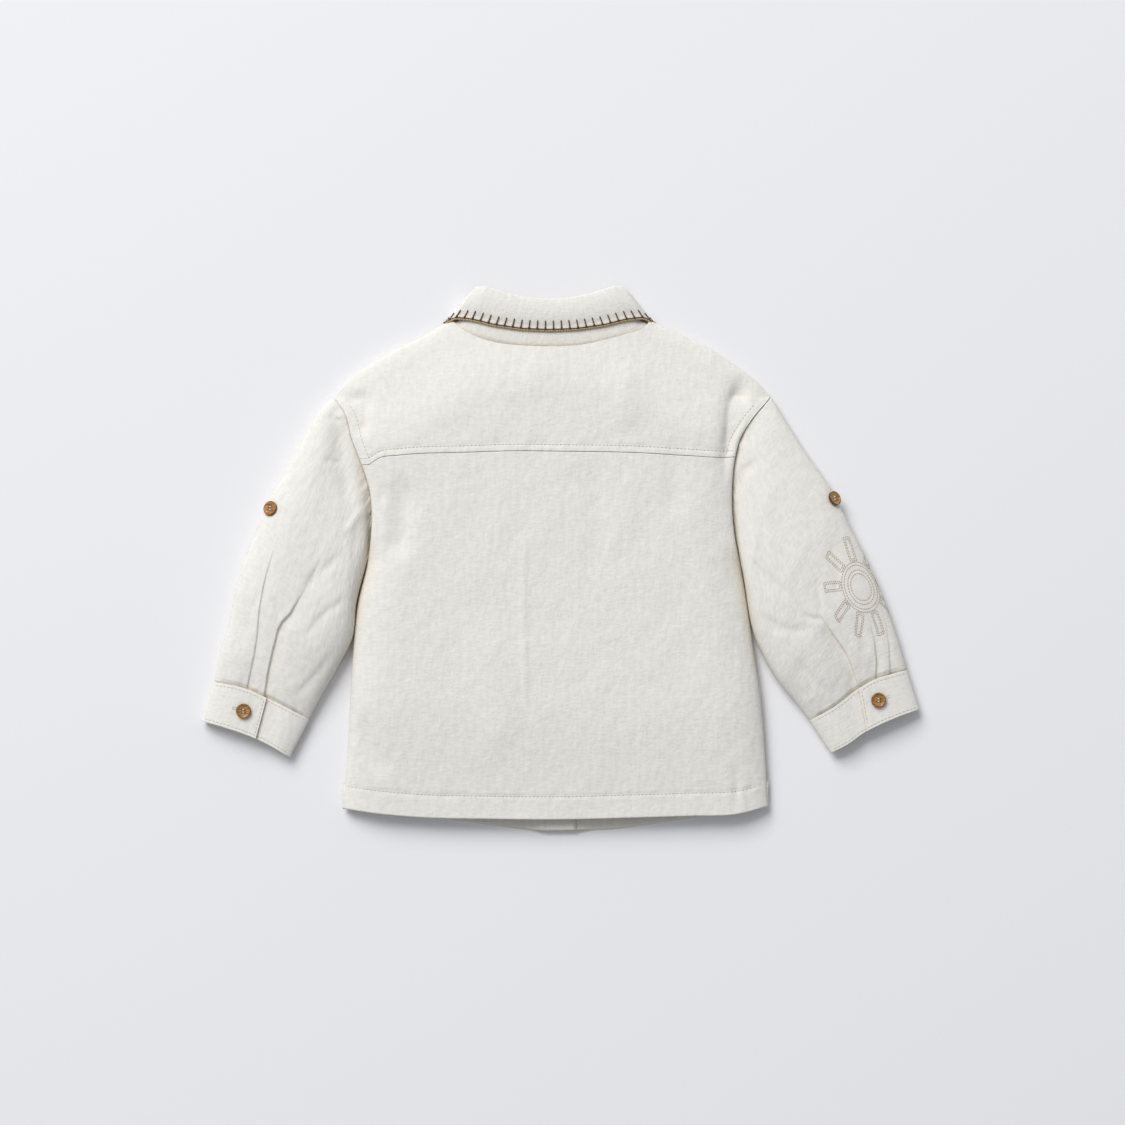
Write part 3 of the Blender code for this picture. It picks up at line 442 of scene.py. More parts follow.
def makeBackBody():
    gap = shirt["seamGap"] / 2
    x, y = panelPlan(
        lambda x: edgeOver(backHem, x),
        lambda x: edgeOver(yokeSeam, x) - gap,
        lambda y: bodyEdge("left", y) + gap,
        lambda y: bodyEdge("right", y) - gap,
        closerAt(*backGrid["across"]), closerAt(*backGrid["up"]))
    z = backSurface(x, y)
    # the top goes on under the yoke, as its seam allowance
    seamRows = [y[-1] + step for step in seamAllowance["steps"]]
    x = np.concatenate([x] + [x[-1:]] * len(seamRows))
    z = np.concatenate([z] + [(backSurface(x[-1], rowY) - seamAllowance["below"])[None] for rowY in seamRows])
    y = np.concatenate([y] + [rowY[None] for rowY in seamRows])
    x, y, z = turnedSides(x, y, z)
    # the hem is turned up inside: rows that go round its edge and back under
    radius, rows = hemTurn["edgeRadius"], []
    for up in hemTurn["ups"]:
        slope = z[0] + backSurface(x[0], y[0] + up) - backSurface(x[0], y[0])
        rows.append((x[0], y[0] + up, slope - 2 * radius))
    for turn in hemTurn["turns"]:
        angle = math.pi * turn
        rows.append((x[0], y[0] - radius * math.sin(angle), z[0] - radius * (1 + math.cos(angle))))
    turnUp = np.array([inFrame(*row) for row in rows])
    turnPlaces = np.array([clothPlaces(row[0], row[1]) for row in rows])
    grid = np.concatenate([turnUp, inFrame(x, y, z)])
    return sewnCloth("backBody", [(grid, np.concatenate([turnPlaces, clothPlaces(x, y)]))],
                     shirt["clothThickness"])


def neckCorner(side):
    # where the back neck, carried on outwards, meets the shoulder fold
    return backNeck[0][0] if side == "left" else backNeck[-1][0]


def shoulderColumns(side, endY, count):
    corner = neckCorner(side)
    endX = bodyEdge(side, endY) - sides[side]["sign"] * shirt["seamGap"] / 2
    return corner + (endX - corner) * np.sin(np.linspace(0, math.pi / 2, count))


yokeGrid = {
    "shoulder": 48,
    "neck": 82,
    "up": (78, [(0.0, 0.09, 1.6), (1.0, 0.05, 4.0)]),
    "foldRows": 13,
    "wrapShares": (0.33, 0.67, 1.0),
    "layerLift": 0.2,
    "layerRamp": 2.0,
}


def shoulderGrid(side):
    # from the level of the back neck, over the shoulder fold, to the forward seam
    tipY = sides[side]["armhole"][0][1]
    count = yokeGrid["shoulder"]
    radius = shirt["shoulderFoldHeight"]
    rows, places = [], []
    for turn in np.linspace(0, 1, yokeGrid["foldRows"]):
        angle = turn * math.pi / 2
        backIn = radius * (1 - math.cos(angle))
        x = shoulderColumns(side, tipY - backIn, count)
        edge = shoulderEdge(x)
        rise = collarRise(x, edge)
        rows.append((x, edge - backIn, rise + (backForm(x, edge) - rise) * (1 - math.sin(angle))))
        places.append(clothPlaces(x, edge + angle * radius))
    for share in yokeGrid["wrapShares"]:
        wrap = radius + (shirt["yokeWrap"] - radius) * share
        x = shoulderColumns(side, tipY - wrap, count)
        rows.append((x, shoulderEdge(x) - wrap, collarRise(x, shoulderEdge(x) - wrap)))
        places.append(clothPlaces(x, shoulderEdge(x) + math.pi * radius / 2 + wrap - radius))
    return np.array([inFrame(*row) for row in rows]), np.array(places)


def makeBackYoke():
    gap = shirt["seamGap"] / 2
    leftGrid, leftPlaces = shoulderGrid("left")
    rightGrid, rightPlaces = shoulderGrid("right")
    neckX = np.linspace(neckCorner("left"), neckCorner("right"), yokeGrid["neck"])[1:-1]
    neckY = edgeOver(backNeck, neckX)
    neck = inFrame(neckX, neckY, backSurface(neckX, neckY))
    topRow = np.concatenate([leftGrid[0][::-1], neck, rightGrid[0]])
    topX, topY = topRow[:, 0] / mm - centreX, topRow[:, 1] / mm
    spread = (topX - topX[0]) / (topX[-1] - topX[0])
    lowLeft = bodyEdge("left", yokeSeam[0][1]) + gap
    lowRight = bodyEdge("right", yokeSeam[-1][1]) - gap
    lowX = lowLeft * (1 - spread) + lowRight * spread
    lowY = edgeOver(yokeSeam, lowX) + gap + shirt["curveGap"]
    rows = []

    def layers(up):
        # the seam allowance under the yoke's edge lifts it as far as its row of stitches
        return yokeGrid["layerLift"] * (1 - smoothStep((up - seamStitching["yokeUp"]) / yokeGrid["layerRamp"]))

    for v in closerAt(*yokeGrid["up"])[:-1]:
        y = lowY * (1 - v) + topY * v
        leftX, rightX = bodyEdge("left", y[0]) + gap, bodyEdge("right", y[-1]) - gap
        x = (leftX * (1 - spread) + rightX * spread) * (1 - v) + topX * v
        x = x + (leftX - x[0]) * (1 - spread) + (rightX - x[-1]) * spread
        rows.append((x, y, backSurface(x, y) + layers(y - edgeOver(yokeSeam, x))))
    rows.append((topX, topY, topRow[:, 2] / mm))
    x, y, z = turnedSides(*[np.array([row[k] for row in rows]) for k in range(3)])
    grids = [(inFrame(x, y, z), clothPlaces(x, y)), (leftGrid[:, ::-1], leftPlaces[:, ::-1]),
             (rightGrid, rightPlaces)]
    return sewnCloth("backYoke", grids, shirt["clothThickness"])


frontGrid = {"placket": 8, "neck": 14, "shoulder": 26, "up": (100, [(0.0, 0.02, 1.0)])}


def makeFront(side):
    sign = sides[side]["sign"]
    gap = shirt["seamGap"] / 2
    freeX = shirt["closureX"] - sign * shirt["placketHalfWidth"]
    seamX = shirt["closureX"] + sign * shirt["placketHalfWidth"]
    lift = shirt["placketLift"] if side == "right" else shirt["placketLift"] + shirt["clothLayer"]
    wrapY = shirt["yokeWrap"]
    clearance = shirt["seamGap"] + shirt["curveGap"]

    def top(x):
        neck = edgeOver(frontNeck, x) - clearance
        shoulder = shoulderEdge(x) - wrapY - clearance
        onShoulder = (x <= neckCorner("left") + 0.01) | (x >= neckCorner("right") - 0.01)
        return np.where(onShoulder, shoulder, np.minimum(neck, shoulder))

    rampX = seamX + sign * shirt["placketRamp"]
    placket = np.concatenate([np.linspace(freeX, seamX, frontGrid["placket"]),
                              np.linspace(seamX, rampX, frontGrid["placket"])[1:]])
    shoulderX = shoulderColumns(side, sides[side]["armhole"][0][1] - wrapY, frontGrid["shoulder"])
    tipX = shoulderX[-1]
    topX = np.concatenate([np.linspace(rampX, neckCorner(side), frontGrid["neck"])[1:], shoulderX[1:]])
    topShare = (topX - rampX) / (tipX - rampX)
    lowShare = np.sin(np.linspace(0, math.pi / 2, len(topX) + 1))[1:]
    fixed = len(placket)
    rows, places = [], []
    for v in closerAt(*frontGrid["up"]):
        share = lowShare * (1 - v**2) + topShare * v**2
        x = np.concatenate([placket, rampX + (tipX - rampX) * share])
        for _ in range(12):
            y = edgeOver(frontHem, x) * (1 - v) + top(x) * v
            x[fixed:] = rampX + (bodyEdge(side, y[-1]) - sign * gap - rampX) * share
        if v == 1.0:
            x[fixed:] = topX
            y = top(x)
        beyond = sign * (x - seamX)
        z = lift * (1 - smoothStep(beyond / shirt["placketRamp"]))
        z = np.maximum(z, collarRise(x, y)) + sideRoll(side, x, y)
        rows.append(inFrame(x, y, z))
        places.append(clothPlaces(x, y))
    return sewnCloth(pieceOf("front", side), [(np.array(rows), np.array(places))], shirt["clothThickness"],
                     flip=sign > 0)


# sleeves, with their pleats and slit
sleeveHeights = [  # along, fold z, top z, outer round, inner round
    (0.00, 6.0, 12.0, 24.0, 24.0),
    (0.08, 6.2, 14.5, 30.0, 26.0),
    (0.22, 7.0, 19.0, 42.0, 34.0),
    (0.45, 7.6, 22.0, 48.0, 36.0),
    (0.70, 7.4, 21.0, 44.0, 34.0),
    (0.90, 6.8, 16.5, 34.0, 28.0),
    (1.00, 6.2, 13.0, 26.0, 24.0),
]
sleeveOuterShare = {"left": 0.75, "right": 1.0}
sleeveFolds = {  # name, depth, half width, step, (along, across)
    "left": [
        ("slit", 2.0, 5.0, 1, [(0.535, 0.475), (0.645, 0.46), (0.70, 0.425), (0.74, 0.415), (0.815, 0.43),
                               (0.915, 0.47), (1.0, 0.51)]),
        ("pleat", 1.1, 4.5, 1, [(0.50, 0.155), (0.615, 0.19), (0.75, 0.24), (0.875, 0.30), (1.0, 0.327)]),
    ],
    "right": [
        ("slit", 2.6, 6.0, 1, [(0.66, 0.445), (0.76, 0.44), (0.855, 0.425), (0.905, 0.435), (1.0, 0.465)]),
        ("pleatInner", 1.3, 3.2, -1, [(0.80, 0.165), (0.87, 0.19), (0.945, 0.24), (1.0, 0.305)]),
        ("pleatOuter", 1.0, 3.0, -1, [(0.76, 0.045), (0.84, 0.06), (0.905, 0.095), (1.0, 0.165)]),
    ],
}
sleeveCreases = {  # name, depth, half width, sharpness, (x, y)
    "left": [
        ("armholeValley", 2.4, 7.0, 0.2, [(-165, 116), (-161, 100), (-158, 78), (-154, 56), (-147, 34)]),
        ("valleyPucker", 1.0, 2.6, 0.3, [(-171, 76), (-163, 72), (-156, 73)]),
        ("tipPucker", 0.9, 2.2, 0.4, [(-167, 109), (-161, 104), (-157, 105)]),
        ("underarmRidge", -1.2, 4.0, 0.3, [(-155, 16), (-147, 30), (-137, 42)]),
        ("elbowFold", 0.9, 5.0, 0.4, [(-192, -36), (-172, -10), (-152, 8)]),
        ("innerFold", 0.9, 4.5, 0.4, [(-186, -62), (-168, -40), (-150, -28)]),
        ("slitLead", 0.8, 2.6, 0.3, [(-186, -24), (-177, -10), (-170, 2)]),
        ("slitBranch", 0.9, 1.6, 0.3, [(-207, -26), (-205, -36), (-201, -46)]),
        ("cuffFold", 0.8, 4.0, 0.4, [(-196, -108), (-178, -88), (-160, -66)]),
        ("outerFold", 0.6, 5.0, 0.3, [(-222, -20), (-226, -45), (-236, -75)]),
    ],
    "right": [
        ("tipCrease", 1.0, 2.2, 0.4, [(160, 121), (164, 114), (168, 107)]),
        ("armholeFold", 1.3, 4.5, 0.3, [(136, 46), (142, 64), (155, 76)]),
        ("elbowFold", 0.9, 5.0, 0.4, [(142, 2), (160, -14), (180, -32)]),
        ("innerFold", 0.9, 5.0, 0.4, [(152, -40), (172, -52), (196, -52)]),
        ("slitPucker", 0.8, 2.2, 0.3, [(184, -40), (193, -44), (203, -45)]),
        ("slitLead", 0.7, 2.6, 0.3, [(196, -14), (199, -28), (202, -44)]),
        ("cuffFold", 0.9, 4.0, 0.4, [(180, -72), (194, -90), (208, -104)]),
        ("sunFold", 0.7, 5.0, 0.3, [(204, 18), (212, -8), (210, -34)]),
        ("underSun", 0.7, 4.0, 0.3, [(226, -40), (232, -58), (236, -76)]),
    ],
}
sleevePuckers = {"armhole": 0.55, "armholeReach": 7.0, "cuff": 0.6, "cuffReach": 9.0, "size": (3.6, 14.0)}
sleeveValley = {"depth": 1.2, "lower": 2.6, "lowerFrom": 0.3, "lowerRamp": 0.4, "width": 11.0}
sleeveAtCuff = {"depth": 1.2, "width": 4.0}
sleeveGrid = {
    "top": 118,
    "topCloser": [(0.0, 0.05, 1.0), (1.0, 0.05, 1.0)],
    "under": 34,
    "underCloser": [(0.0, 0.05, 1.5), (1.0, 0.05, 1.5)],
    "rows": 128,
    "rowsCloser": [(0.0, 0.03, 1.0), (1.0, 0.03, 0.8)],
    "edgeFade": 10.0,
    "foldFade": (0.15, 0.16),
    "stepWidth": 1.1,
    "stepShare": 0.014,
    "stepColumns": 3,
    "trim": 0.4,
    "length": 240.0,
}


def sleevePlan(side, across, length):
    data = sides[side]
    start, end = data["armhole"], data["cuffSeam"]
    a = np.atleast_1d(across)[:, None]
    armhole, cuff = curveThrough(start, a[:, 0]), curveThrough(end, a[:, 0])
    outer, inner = [curveThrough(data[edge], [length])[0] for edge in ("sleeveOuter", "sleeveInner")]
    corners = (np.array(start[0]) * (1 - a) + np.array(start[-1]) * a) * (1 - length)
    corners = corners + (np.array(end[0]) * (1 - a) + np.array(end[-1]) * a) * length
    plan = armhole * (1 - length) + cuff * length + outer * (1 - a) + inner * a - corners
    return plan[:, 0] * data["sign"], plan[:, 1], np.linalg.norm(outer - inner)


def foldPlace(rows, length):
    rows = np.asarray(rows, float)
    return np.interp(length, rows[:, 0], rows[:, 1])


def sleeveRelief(side, across, length, width):
    total = np.zeros_like(across)
    for _, depth, halfWidth, step, rows in sleeveFolds[side]:
        already, ramp = sleeveGrid["foldFade"]
        fade = smoothStep(np.array((length - rows[0][0]) / ramp + already))
        d = (across - foldPlace(rows, length)) * width * step
        soft = np.where(d > 0, smoothStep(d / sleeveGrid["stepWidth"]), 0.0)
        total -= depth * fade * soft * np.exp(-((d / halfWidth) ** 2) / 2)
    return total


def sleeveColumns(side, across, length):
    # columns moved so that four of them run through the step of each fold
    base, place = [0.0], [0.0]
    for _, _, _, step, rows in sorted(sleeveFolds[side], key=lambda row: row[4][0][1]):
        middle = np.mean([row[1] for row in rows])
        column = int(np.argmin(np.abs(across - middle)))
        fold = foldPlace(rows, length)
        pair = sorted([(across[column], fold), (across[column + sleeveGrid["stepColumns"] * step],
                                                fold + step * sleeveGrid["stepShare"])])
        base += [pair[0][0], pair[1][0]]
        place += [pair[0][1], pair[1][1]]
    return np.interp(across, base + [1.0], place + [1.0])


def sleeveSurface(side, across, length):
    # points of a sleeve's back, with folds and crinkle
    x, y, width = sleevePlan(side, across, length)
    stations = np.array(sleeveHeights)
    foldZ, topZ, outerRound, innerRound = [
        np.interp(length, stations[:, 0], stations[:, k]) for k in range(1, 5)]
    outerRound *= sleeveOuterShare[side]
    rise = rounded(across * width, outerRound) * rounded((1 - across) * width, innerRound)
    edge = smoothStep(np.minimum(across, 1 - across) * width / sleeveGrid["edgeFade"])
    relief = sleeveRelief(side, across, length, width) * edge
    fromArmhole = length * sleeveGrid["length"]
    lower = smoothStep((across - sleeveValley["lowerFrom"]) / sleeveValley["lowerRamp"])
    sunk = sleeveValley["depth"] + sleeveValley["lower"] * lower
    relief = relief - edge * sunk * np.exp(-((fromArmhole / sleeveValley["width"]) ** 2))
    fromCuff = (1 - length) * sleeveGrid["length"]
    relief = relief - edge * sleeveAtCuff["depth"] * (1 - smoothStep(fromCuff / sleeveAtCuff["width"]))
    seed = seeds[side]
    fine = crinkle(across * width, np.full_like(across, length * sleeveGrid["length"]), seed)
    for name, reach, distance in (("armhole", "armholeReach", fromArmhole), ("cuff", "cuffReach", fromCuff)):
        close = math.exp(-((distance / sleevePuckers[reach]) ** 2))
        lumps = unevenness(across * width, np.full_like(across, distance), *sleevePuckers["size"], seed + 8)
        fine += sleevePuckers[name] * close * lumps
    z = foldZ + (topZ - foldZ) * rise + relief + edge * (fine + creases(sleeveCreases[side], x, y))
    x = x + sides[side]["sign"] * shirt["armholeGap"] * ((1 - length) + length * across)
    return x, y, z, foldZ, width


armholeTuck = [  # on past the seam, how far in from the fold, how far down, least height
    (1.2, 1.0, 1.2, 1.0),
    (4.0, 1.2, 1.7, 1.1),
    (7.5, 1.4, 2.0, 1.1),
]
cuffTuck = [
    (0.8, 1.9, 1.0, 1.7),
    (3.0, 2.0, 1.2, 1.8),
    (6.5, 2.0, 1.2, 1.8),
]


def allowance(row, inner, tuck):
    # rows of cloth that carry on past a seam, inside the piece sewn over it
    middle = row.mean(axis=0)
    onwards = row - inner
    onwards[:, 2] = 0
    onwards = onwards.mean(axis=0)
    onwards /= np.linalg.norm(onwards)
    out = row - middle
    out[:, 2] = 0
    reach = np.linalg.norm(out, axis=1)[:, None]
    made = []
    for past, inward, down, least in tuck:
        shape = row + onwards * past * mm - out / reach.max() * inward * mm
        shape[:, 2] = np.maximum(row[:, 2] - down * mm, least * mm)
        made.append(shape)
    return made


sleeveLoops = {}  # each sleeve's rows of outer points, for the stitching


def makeSleeve(side):
    base = closerAt(sleeveGrid["top"], sleeveGrid["topCloser"])
    under = closerAt(sleeveGrid["under"], sleeveGrid["underCloser"])[::-1][1:-1]
    trim = sleeveGrid["trim"] / sleeveGrid["length"]
    rows, places = [], []
    for v in closerAt(sleeveGrid["rows"], sleeveGrid["rowsCloser"]):
        length = trim + v * (1 - 2 * trim)
        topA = sleeveColumns(side, base, length)
        x, y, z, foldZ, width = sleeveSurface(side, topA, length)
        underX, underY, _ = sleevePlan(side, under, length)
        underX = underX + sides[side]["sign"] * shirt["armholeGap"] * ((1 - v) + v * under)
        low = foldZ * (1 - rounded(np.minimum(under, 1 - under) * width, foldZ))
        rows.append(inFrame(np.concatenate([x, underX]), np.concatenate([y, underY]), np.concatenate([z, low])))
        rows[-1] = np.maximum(rows[-1], [-1.0, -1.0, 0.0])
        across = np.concatenate([topA, -under]) * width
        places.append(clothPlaces(across, np.full_like(across, -length * sleeveGrid["length"])))
    sleeveLoops[side] = np.array(rows)
    rows = allowance(rows[0], rows[6], armholeTuck)[::-1] + rows + allowance(rows[-1], rows[-7], cuffTuck)
    places = [places[0]] * len(armholeTuck) + places + [places[-1]] * len(cuffTuck)
    return sewnCloth(pieceOf("sleeve", side), [(np.array(rows), np.array(places))], shirt["clothThickness"],
                     closed=True, flip=sides[side]["sign"] < 0)


# cuffs
cuff = {
    "foldZ": 6.4,
    "topZ": 13.0,
    "round": 26.0,
    "underlap": 0.26,
    "step": 1.9,
    "stepFrom": 0.30,
    "stepRamp": 0.24,
    "seamClear": 0.012,
    "height": 34.0,
    "down": (30, [(0.0, 0.06, 1.0), (1.0, 0.06, 1.0)]),
    "under": (30, [(0.0, 0.08, 1.5), (1.0, 0.08, 1.5)]),
    "overColumns": 52,
    "backColumns": 56,
    "closerAtLap": 1.6,
}


def cuffPlan(side, across, down):
    data = sides[side]
    seam, hem = curveThrough(data["cuffSeam"], across), curveThrough(data["cuffHem"], across)
    plan = seam * (1 - down) + hem * down
    seamWidth = math.dist(data["cuffSeam"][0], data["cuffSeam"][-1])
    hemWidth = math.dist(data["cuffHem"][0], data["cuffHem"][-1])
    return plan[:, 0] * data["sign"], plan[:, 1], seamWidth * (1 - down) + hemWidth * down


def cuffHeight(across, width):
    rise = rounded(across * width, cuff["round"]) * rounded((1 - across) * width, cuff["round"])
    return cuff["foldZ"] + (cuff["topZ"] - cuff["foldZ"]) * rise


def makeCuff(side):
    lapSeam, lapHem = sides[side]["cuffLap"]
    rows, places = [], []
    under = closerAt(*cuff["under"])[1:-1]
    for share in closerAt(*cuff["down"]):
        down = cuff["seamClear"] + share * (1 - cuff["seamClear"])
        lap = lapSeam * (1 - down) + lapHem * down
        over = lap * np.sin(np.linspace(math.pi / 2, 0, cuff["overColumns"])) ** cuff["closerAtLap"]
        turn = np.linspace(0, math.pi / 2, cuff["backColumns"])
        back = 1 - (1 - lap + cuff["underlap"]) * (1 - np.cos(turn))
        across = np.concatenate([over, under, back])
        x, y, width = cuffPlan(side, np.clip(across, 0, 1), down)
        overZ = cuffHeight(over, width)
        underZ = cuff["foldZ"] * (1 - rounded(np.minimum(under, 1 - under) * width, cuff["foldZ"]))
        beneath = smoothStep((lap + cuff["stepFrom"] - back) / cuff["stepRamp"])
        backZ = cuffHeight(back, width) - cuff["step"] * beneath
        rows.append(inFrame(x, y, np.concatenate([overZ, underZ, backZ])))
        along = np.concatenate([over, -under, back]) * width
        places.append(clothPlaces(along, np.full_like(along, -down * cuff["height"])))
    return sewnCloth(pieceOf("cuff", side), [(np.array(rows), np.array(places))], shirt["cuffThickness"],
                     flip=sides[side]["sign"] > 0)


# collar
collarStations = [  # turn, seam (x, y, z), fold (x, y, z), edge (x, y, z)
    (0.00, (0, 159.3, 10.2), (0, 193.2, 11.0), (0, 171.5, 12.2)),
    (0.12, (21, 160.0, 10.2), (15, 194.0, 11.0), (20, 172.3, 12.2)),
    (0.24, (40, 163.5, 9.9), (31, 197.5, 10.8), (41, 175.3, 11.9)),
    (0.35, (55, 168.2, 9.4), (46, 202.4, 10.2), (58, 179.5, 11.1)),
    (0.44, (65, 173.4, 8.2), (53, 202.4, 8.2), (70.5, 181.0, 9.0)),
    (0.50, (68.6, 179.0, 5.2), (59, 196.0, 5.2), (78.5, 177.2, 5.0)),
    (0.53, (68.5, 176.5, 3.0), (59, 194.0, 3.0), (79.3, 175.4, 1.6)),
    (0.56, (68.2, 172.0, 1.5), (58, 190.0, 1.5), (79.5, 175.0, 0.0)),
    (0.64, (63, 158.0, 1.5), (51, 181.0, 1.5), (74, 150.0, 0.0)),
    (0.76, (48, 137.5, 1.5), (38, 165.0, 1.5), (63, 120.0, 0.0)),
    (0.86, (31, 126.5, 1.5), (24, 154.0, 1.5), (50, 100.0, 0.0)),
    (0.94, (12, 121.8, 1.5), (10, 149.0, 1.5), (22, 116.0, 0.0)),
    (1.00, (0.5, 120.9, 1.5), (0.5, 147.5, 1.5), (3.5, 128.0, 0.0)),
]
collar = {"leafClearance": 1.7, "leafStart": 1.5, "standEndLift": 1.8, "endsPast": 110.0, "rows": 30,
          "columns": 361, "evened": 6, "length": 190.0, "standHeight": 34.0, "leafHeight": 30.0,
          "foldAngles": (160, 130, 100, 75, 50, 25), "turnFrom": 0.44, "turnOver": 0.12,
          "standRows": 17, "tuckSteps": (-0.2, -0.12, -0.03), "tuckDown": (0.4, 4.0), "sidesAt": (0.45, 0.09),
          "endLiftFrom": 0.86, "endLiftRamp": 0.10, "middleY": 160.0,
          "foldRadius": 1.3, "frontFoldRadius": 0.6, "fullness": 1.4, "sideTuck": 6.0}


def collarRing(column, turns):
    data = np.array([row[column] for row in collarStations], float)
    marks = np.array([row[0] for row in collarStations])
    t = np.abs(turns)
    x, y, z = [np.interp(t, marks, data[:, k]) for k in range(3)]
    x = x - np.maximum(t - 1.0, 0.0) * collar["endsPast"]
    return shirt["collarX"] + np.sign(turns) * x, y, z


def evened(values, times):
    # rounds off the corners between a table's rows
    for _ in range(times):
        values = np.concatenate([values[:1], (values[:-2] + 2 * values[1:-1] + values[2:]) / 4, values[-1:]])
    return values


def collarRings(end, *columns):
    turns = np.linspace(-end, end, collar["columns"])
    return turns, *[[evened(v, collar["evened"]) for v in collarRing(k, turns)] for k in columns]


def makeCollarStand():
    turns, seam, fold = collarRings(1.1, 1, 2)
    lift = collar["standEndLift"] * smoothStep((-turns - collar["endLiftFrom"]) / collar["endLiftRamp"])
    rows, places = [], []
    onBack = smoothStep((0.5 - np.abs(turns)) / 0.06)
    down, slope = collar["tuckDown"]
    nearTurn, nearWidth = collar["sidesAt"]
    for v in (*collar["tuckSteps"], *np.linspace(0, 1, collar["standRows"])):
        x, y, z = [seam[k] * (1 - v) + fold[k] * v for k in range(3)]
        if v < 0:
            # under the yoke's neck edge the stand goes on as its seam allowance
            z = z * (1 - onBack) + (seam[2] - down + slope * v) * onBack
            nearSide = np.exp(-(((np.abs(turns) - nearTurn) / nearWidth) ** 2))
            x = x + np.sign(turns) * nearSide * collar["sideTuck"] * min(1.0, -v * 12)
        rows.append(inFrame(x, y, z + lift))
        places.append(clothPlaces(turns * collar["length"], np.full_like(x, v * collar["standHeight"])))
    return sewnCloth("collarStand", [(np.array(rows), np.array(places))], shirt["clothThickness"])


def makeCollarLeaf():
    turns, fold, edge = collarRings(1.0, 2, 3)
    away = np.hypot(fold[0] - shirt["collarX"], fold[1] - collar["middleY"])
    sideOut = np.exp(-(((np.abs(turns) - 0.5) / 0.10) ** 2))
    startX = fold[0] + (fold[0] - shirt["collarX"]) / away * collar["leafClearance"] * (1 + sideOut)
    startY = fold[1] + collar["leafStart"] * (1 - 0.6 * smoothStep((np.abs(turns) - 0.5) / 0.1))
    turnOver = np.clip((np.abs(turns) - collar["turnFrom"]) / collar["turnOver"], 0, 1) * math.pi
    up = np.cos(turnOver)
    startZ = np.where(up > 0, fold[2] + collar["leafClearance"] * up,
                      np.maximum(fold[2] + shirt["clothLayer"] * up, 0.0))
    onBack = smoothStep((0.52 - np.abs(turns)) / 0.08)
    radius = collar["foldRadius"] * onBack + collar["frontFoldRadius"] * (1 - onBack)
    outX, outY = startX - edge[0], startY - edge[1]
    reach = np.hypot(outX, outY)
    outX, outY = outX / reach, outY / reach
    inX, inZ = -np.sign(turns) * np.sin(turnOver), -up
    startX, startY = startX - radius * outX, startY - radius * outY
    leafTop = collar["standHeight"] + 6.0  # the cloth of the leaf starts past the stand's fold
    rows, places = [], []
    for angle in np.radians(collar["foldAngles"]):  # round the fold, from inside it
        out, inward = radius * math.sin(angle), radius * (1 - math.cos(angle))
        rows.append(inFrame(startX + outX * out + inX * inward, startY + outY * out,
                            np.maximum(startZ + inZ * inward, 0.0)))
        places.append(clothPlaces(turns * collar["length"], leafTop - angle * radius))
    for v in np.linspace(0, 1, collar["rows"]):
        x = startX * (1 - v) + edge[0] * v
        y = startY * (1 - v) + edge[1] * v
        puff = onBack * collar["fullness"] * math.sin(math.pi * min(1.0, 1.15 * v)) ** 0.8
        z = startZ * (1 - v) + edge[2] * v + puff
        rows.append(inFrame(x, y, z))
        places.append(clothPlaces(turns * collar["length"], leafTop + v * collar["leafHeight"] + 0 * x))
    leaf = sewnCloth("collarLeaf", [(np.array(rows), np.array(places))], shirt["clothThickness"], flip=True)
    return leaf, np.array(rows)


# materials
def newMaterial(name, values):
    material = bpy.data.materials.new(name)
    material.use_nodes = True
    shader = material.node_tree.nodes["Principled BSDF"]
    for label, value in values.items():
        shader.inputs[label].default_value = value
    return material, shader


def addNode(material, kind, values, sources, **settings):
    # a node with inputs that are set, and inputs that are linked from other nodes' outputs
    node = material.node_tree.nodes.new("ShaderNode" + kind)
    for name, value in settings.items():
        setattr(node, name, value)
    for label, value in values.items():
        node.inputs[label].default_value = value
    for label, source in sources.items():
        material.node_tree.links.new(source, node.inputs[label])
    return node.outputs


def addRamp(material, source, low, high):
    # colours between two, each given with its position
    ramp = material.node_tree.nodes.new("ShaderNodeValToRGB")
    for k, (position, colour) in enumerate((low, high)):
        ramp.color_ramp.elements[k].position = position
        ramp.color_ramp.elements[k].color = colour
    material.node_tree.links.new(source, ramp.inputs["Fac"])
    return ramp.outputs["Color"]


def finishMaterial(material, shader, colour, relief, strength, distance):
    values = {"Strength": strength, "Distance": distance}
    normal = addNode(material, "Bump", values, {"Height": relief})["Normal"]
    material.node_tree.links.new(normal, shader.inputs["Normal"])
    material.node_tree.links.new(colour, shader.inputs["Base Color"])
    return material


cottonLook = {
    "grains": [  # stretch across, along and up; how many to a millimetre; share
        ((1.0, 0.35, 1.0), 0.30, 0.55),
        ((0.5, 1.0, 1.0), 0.42, 0.40),
        ((1.0, 1.0, 1.0), 1.30, 0.25),
    ],
    "bumpStrength": 0.6,
    "bump": 0.0011,
    "deep": (0.775, 0.755, 0.70, 1),
    "deepAt": 0.45,
    "pale": (0.845, 0.835, 0.795, 1),
    "paleAt": 0.8,
    # painted shade: the darker warm colour mixed in where cloth lies close in folds, and how far away that
    # closeness is looked for
    "paintedFoldShade": (0.69, 0.61, 0.48, 1),
    "paintedFoldShadeReach": 0.014,
}


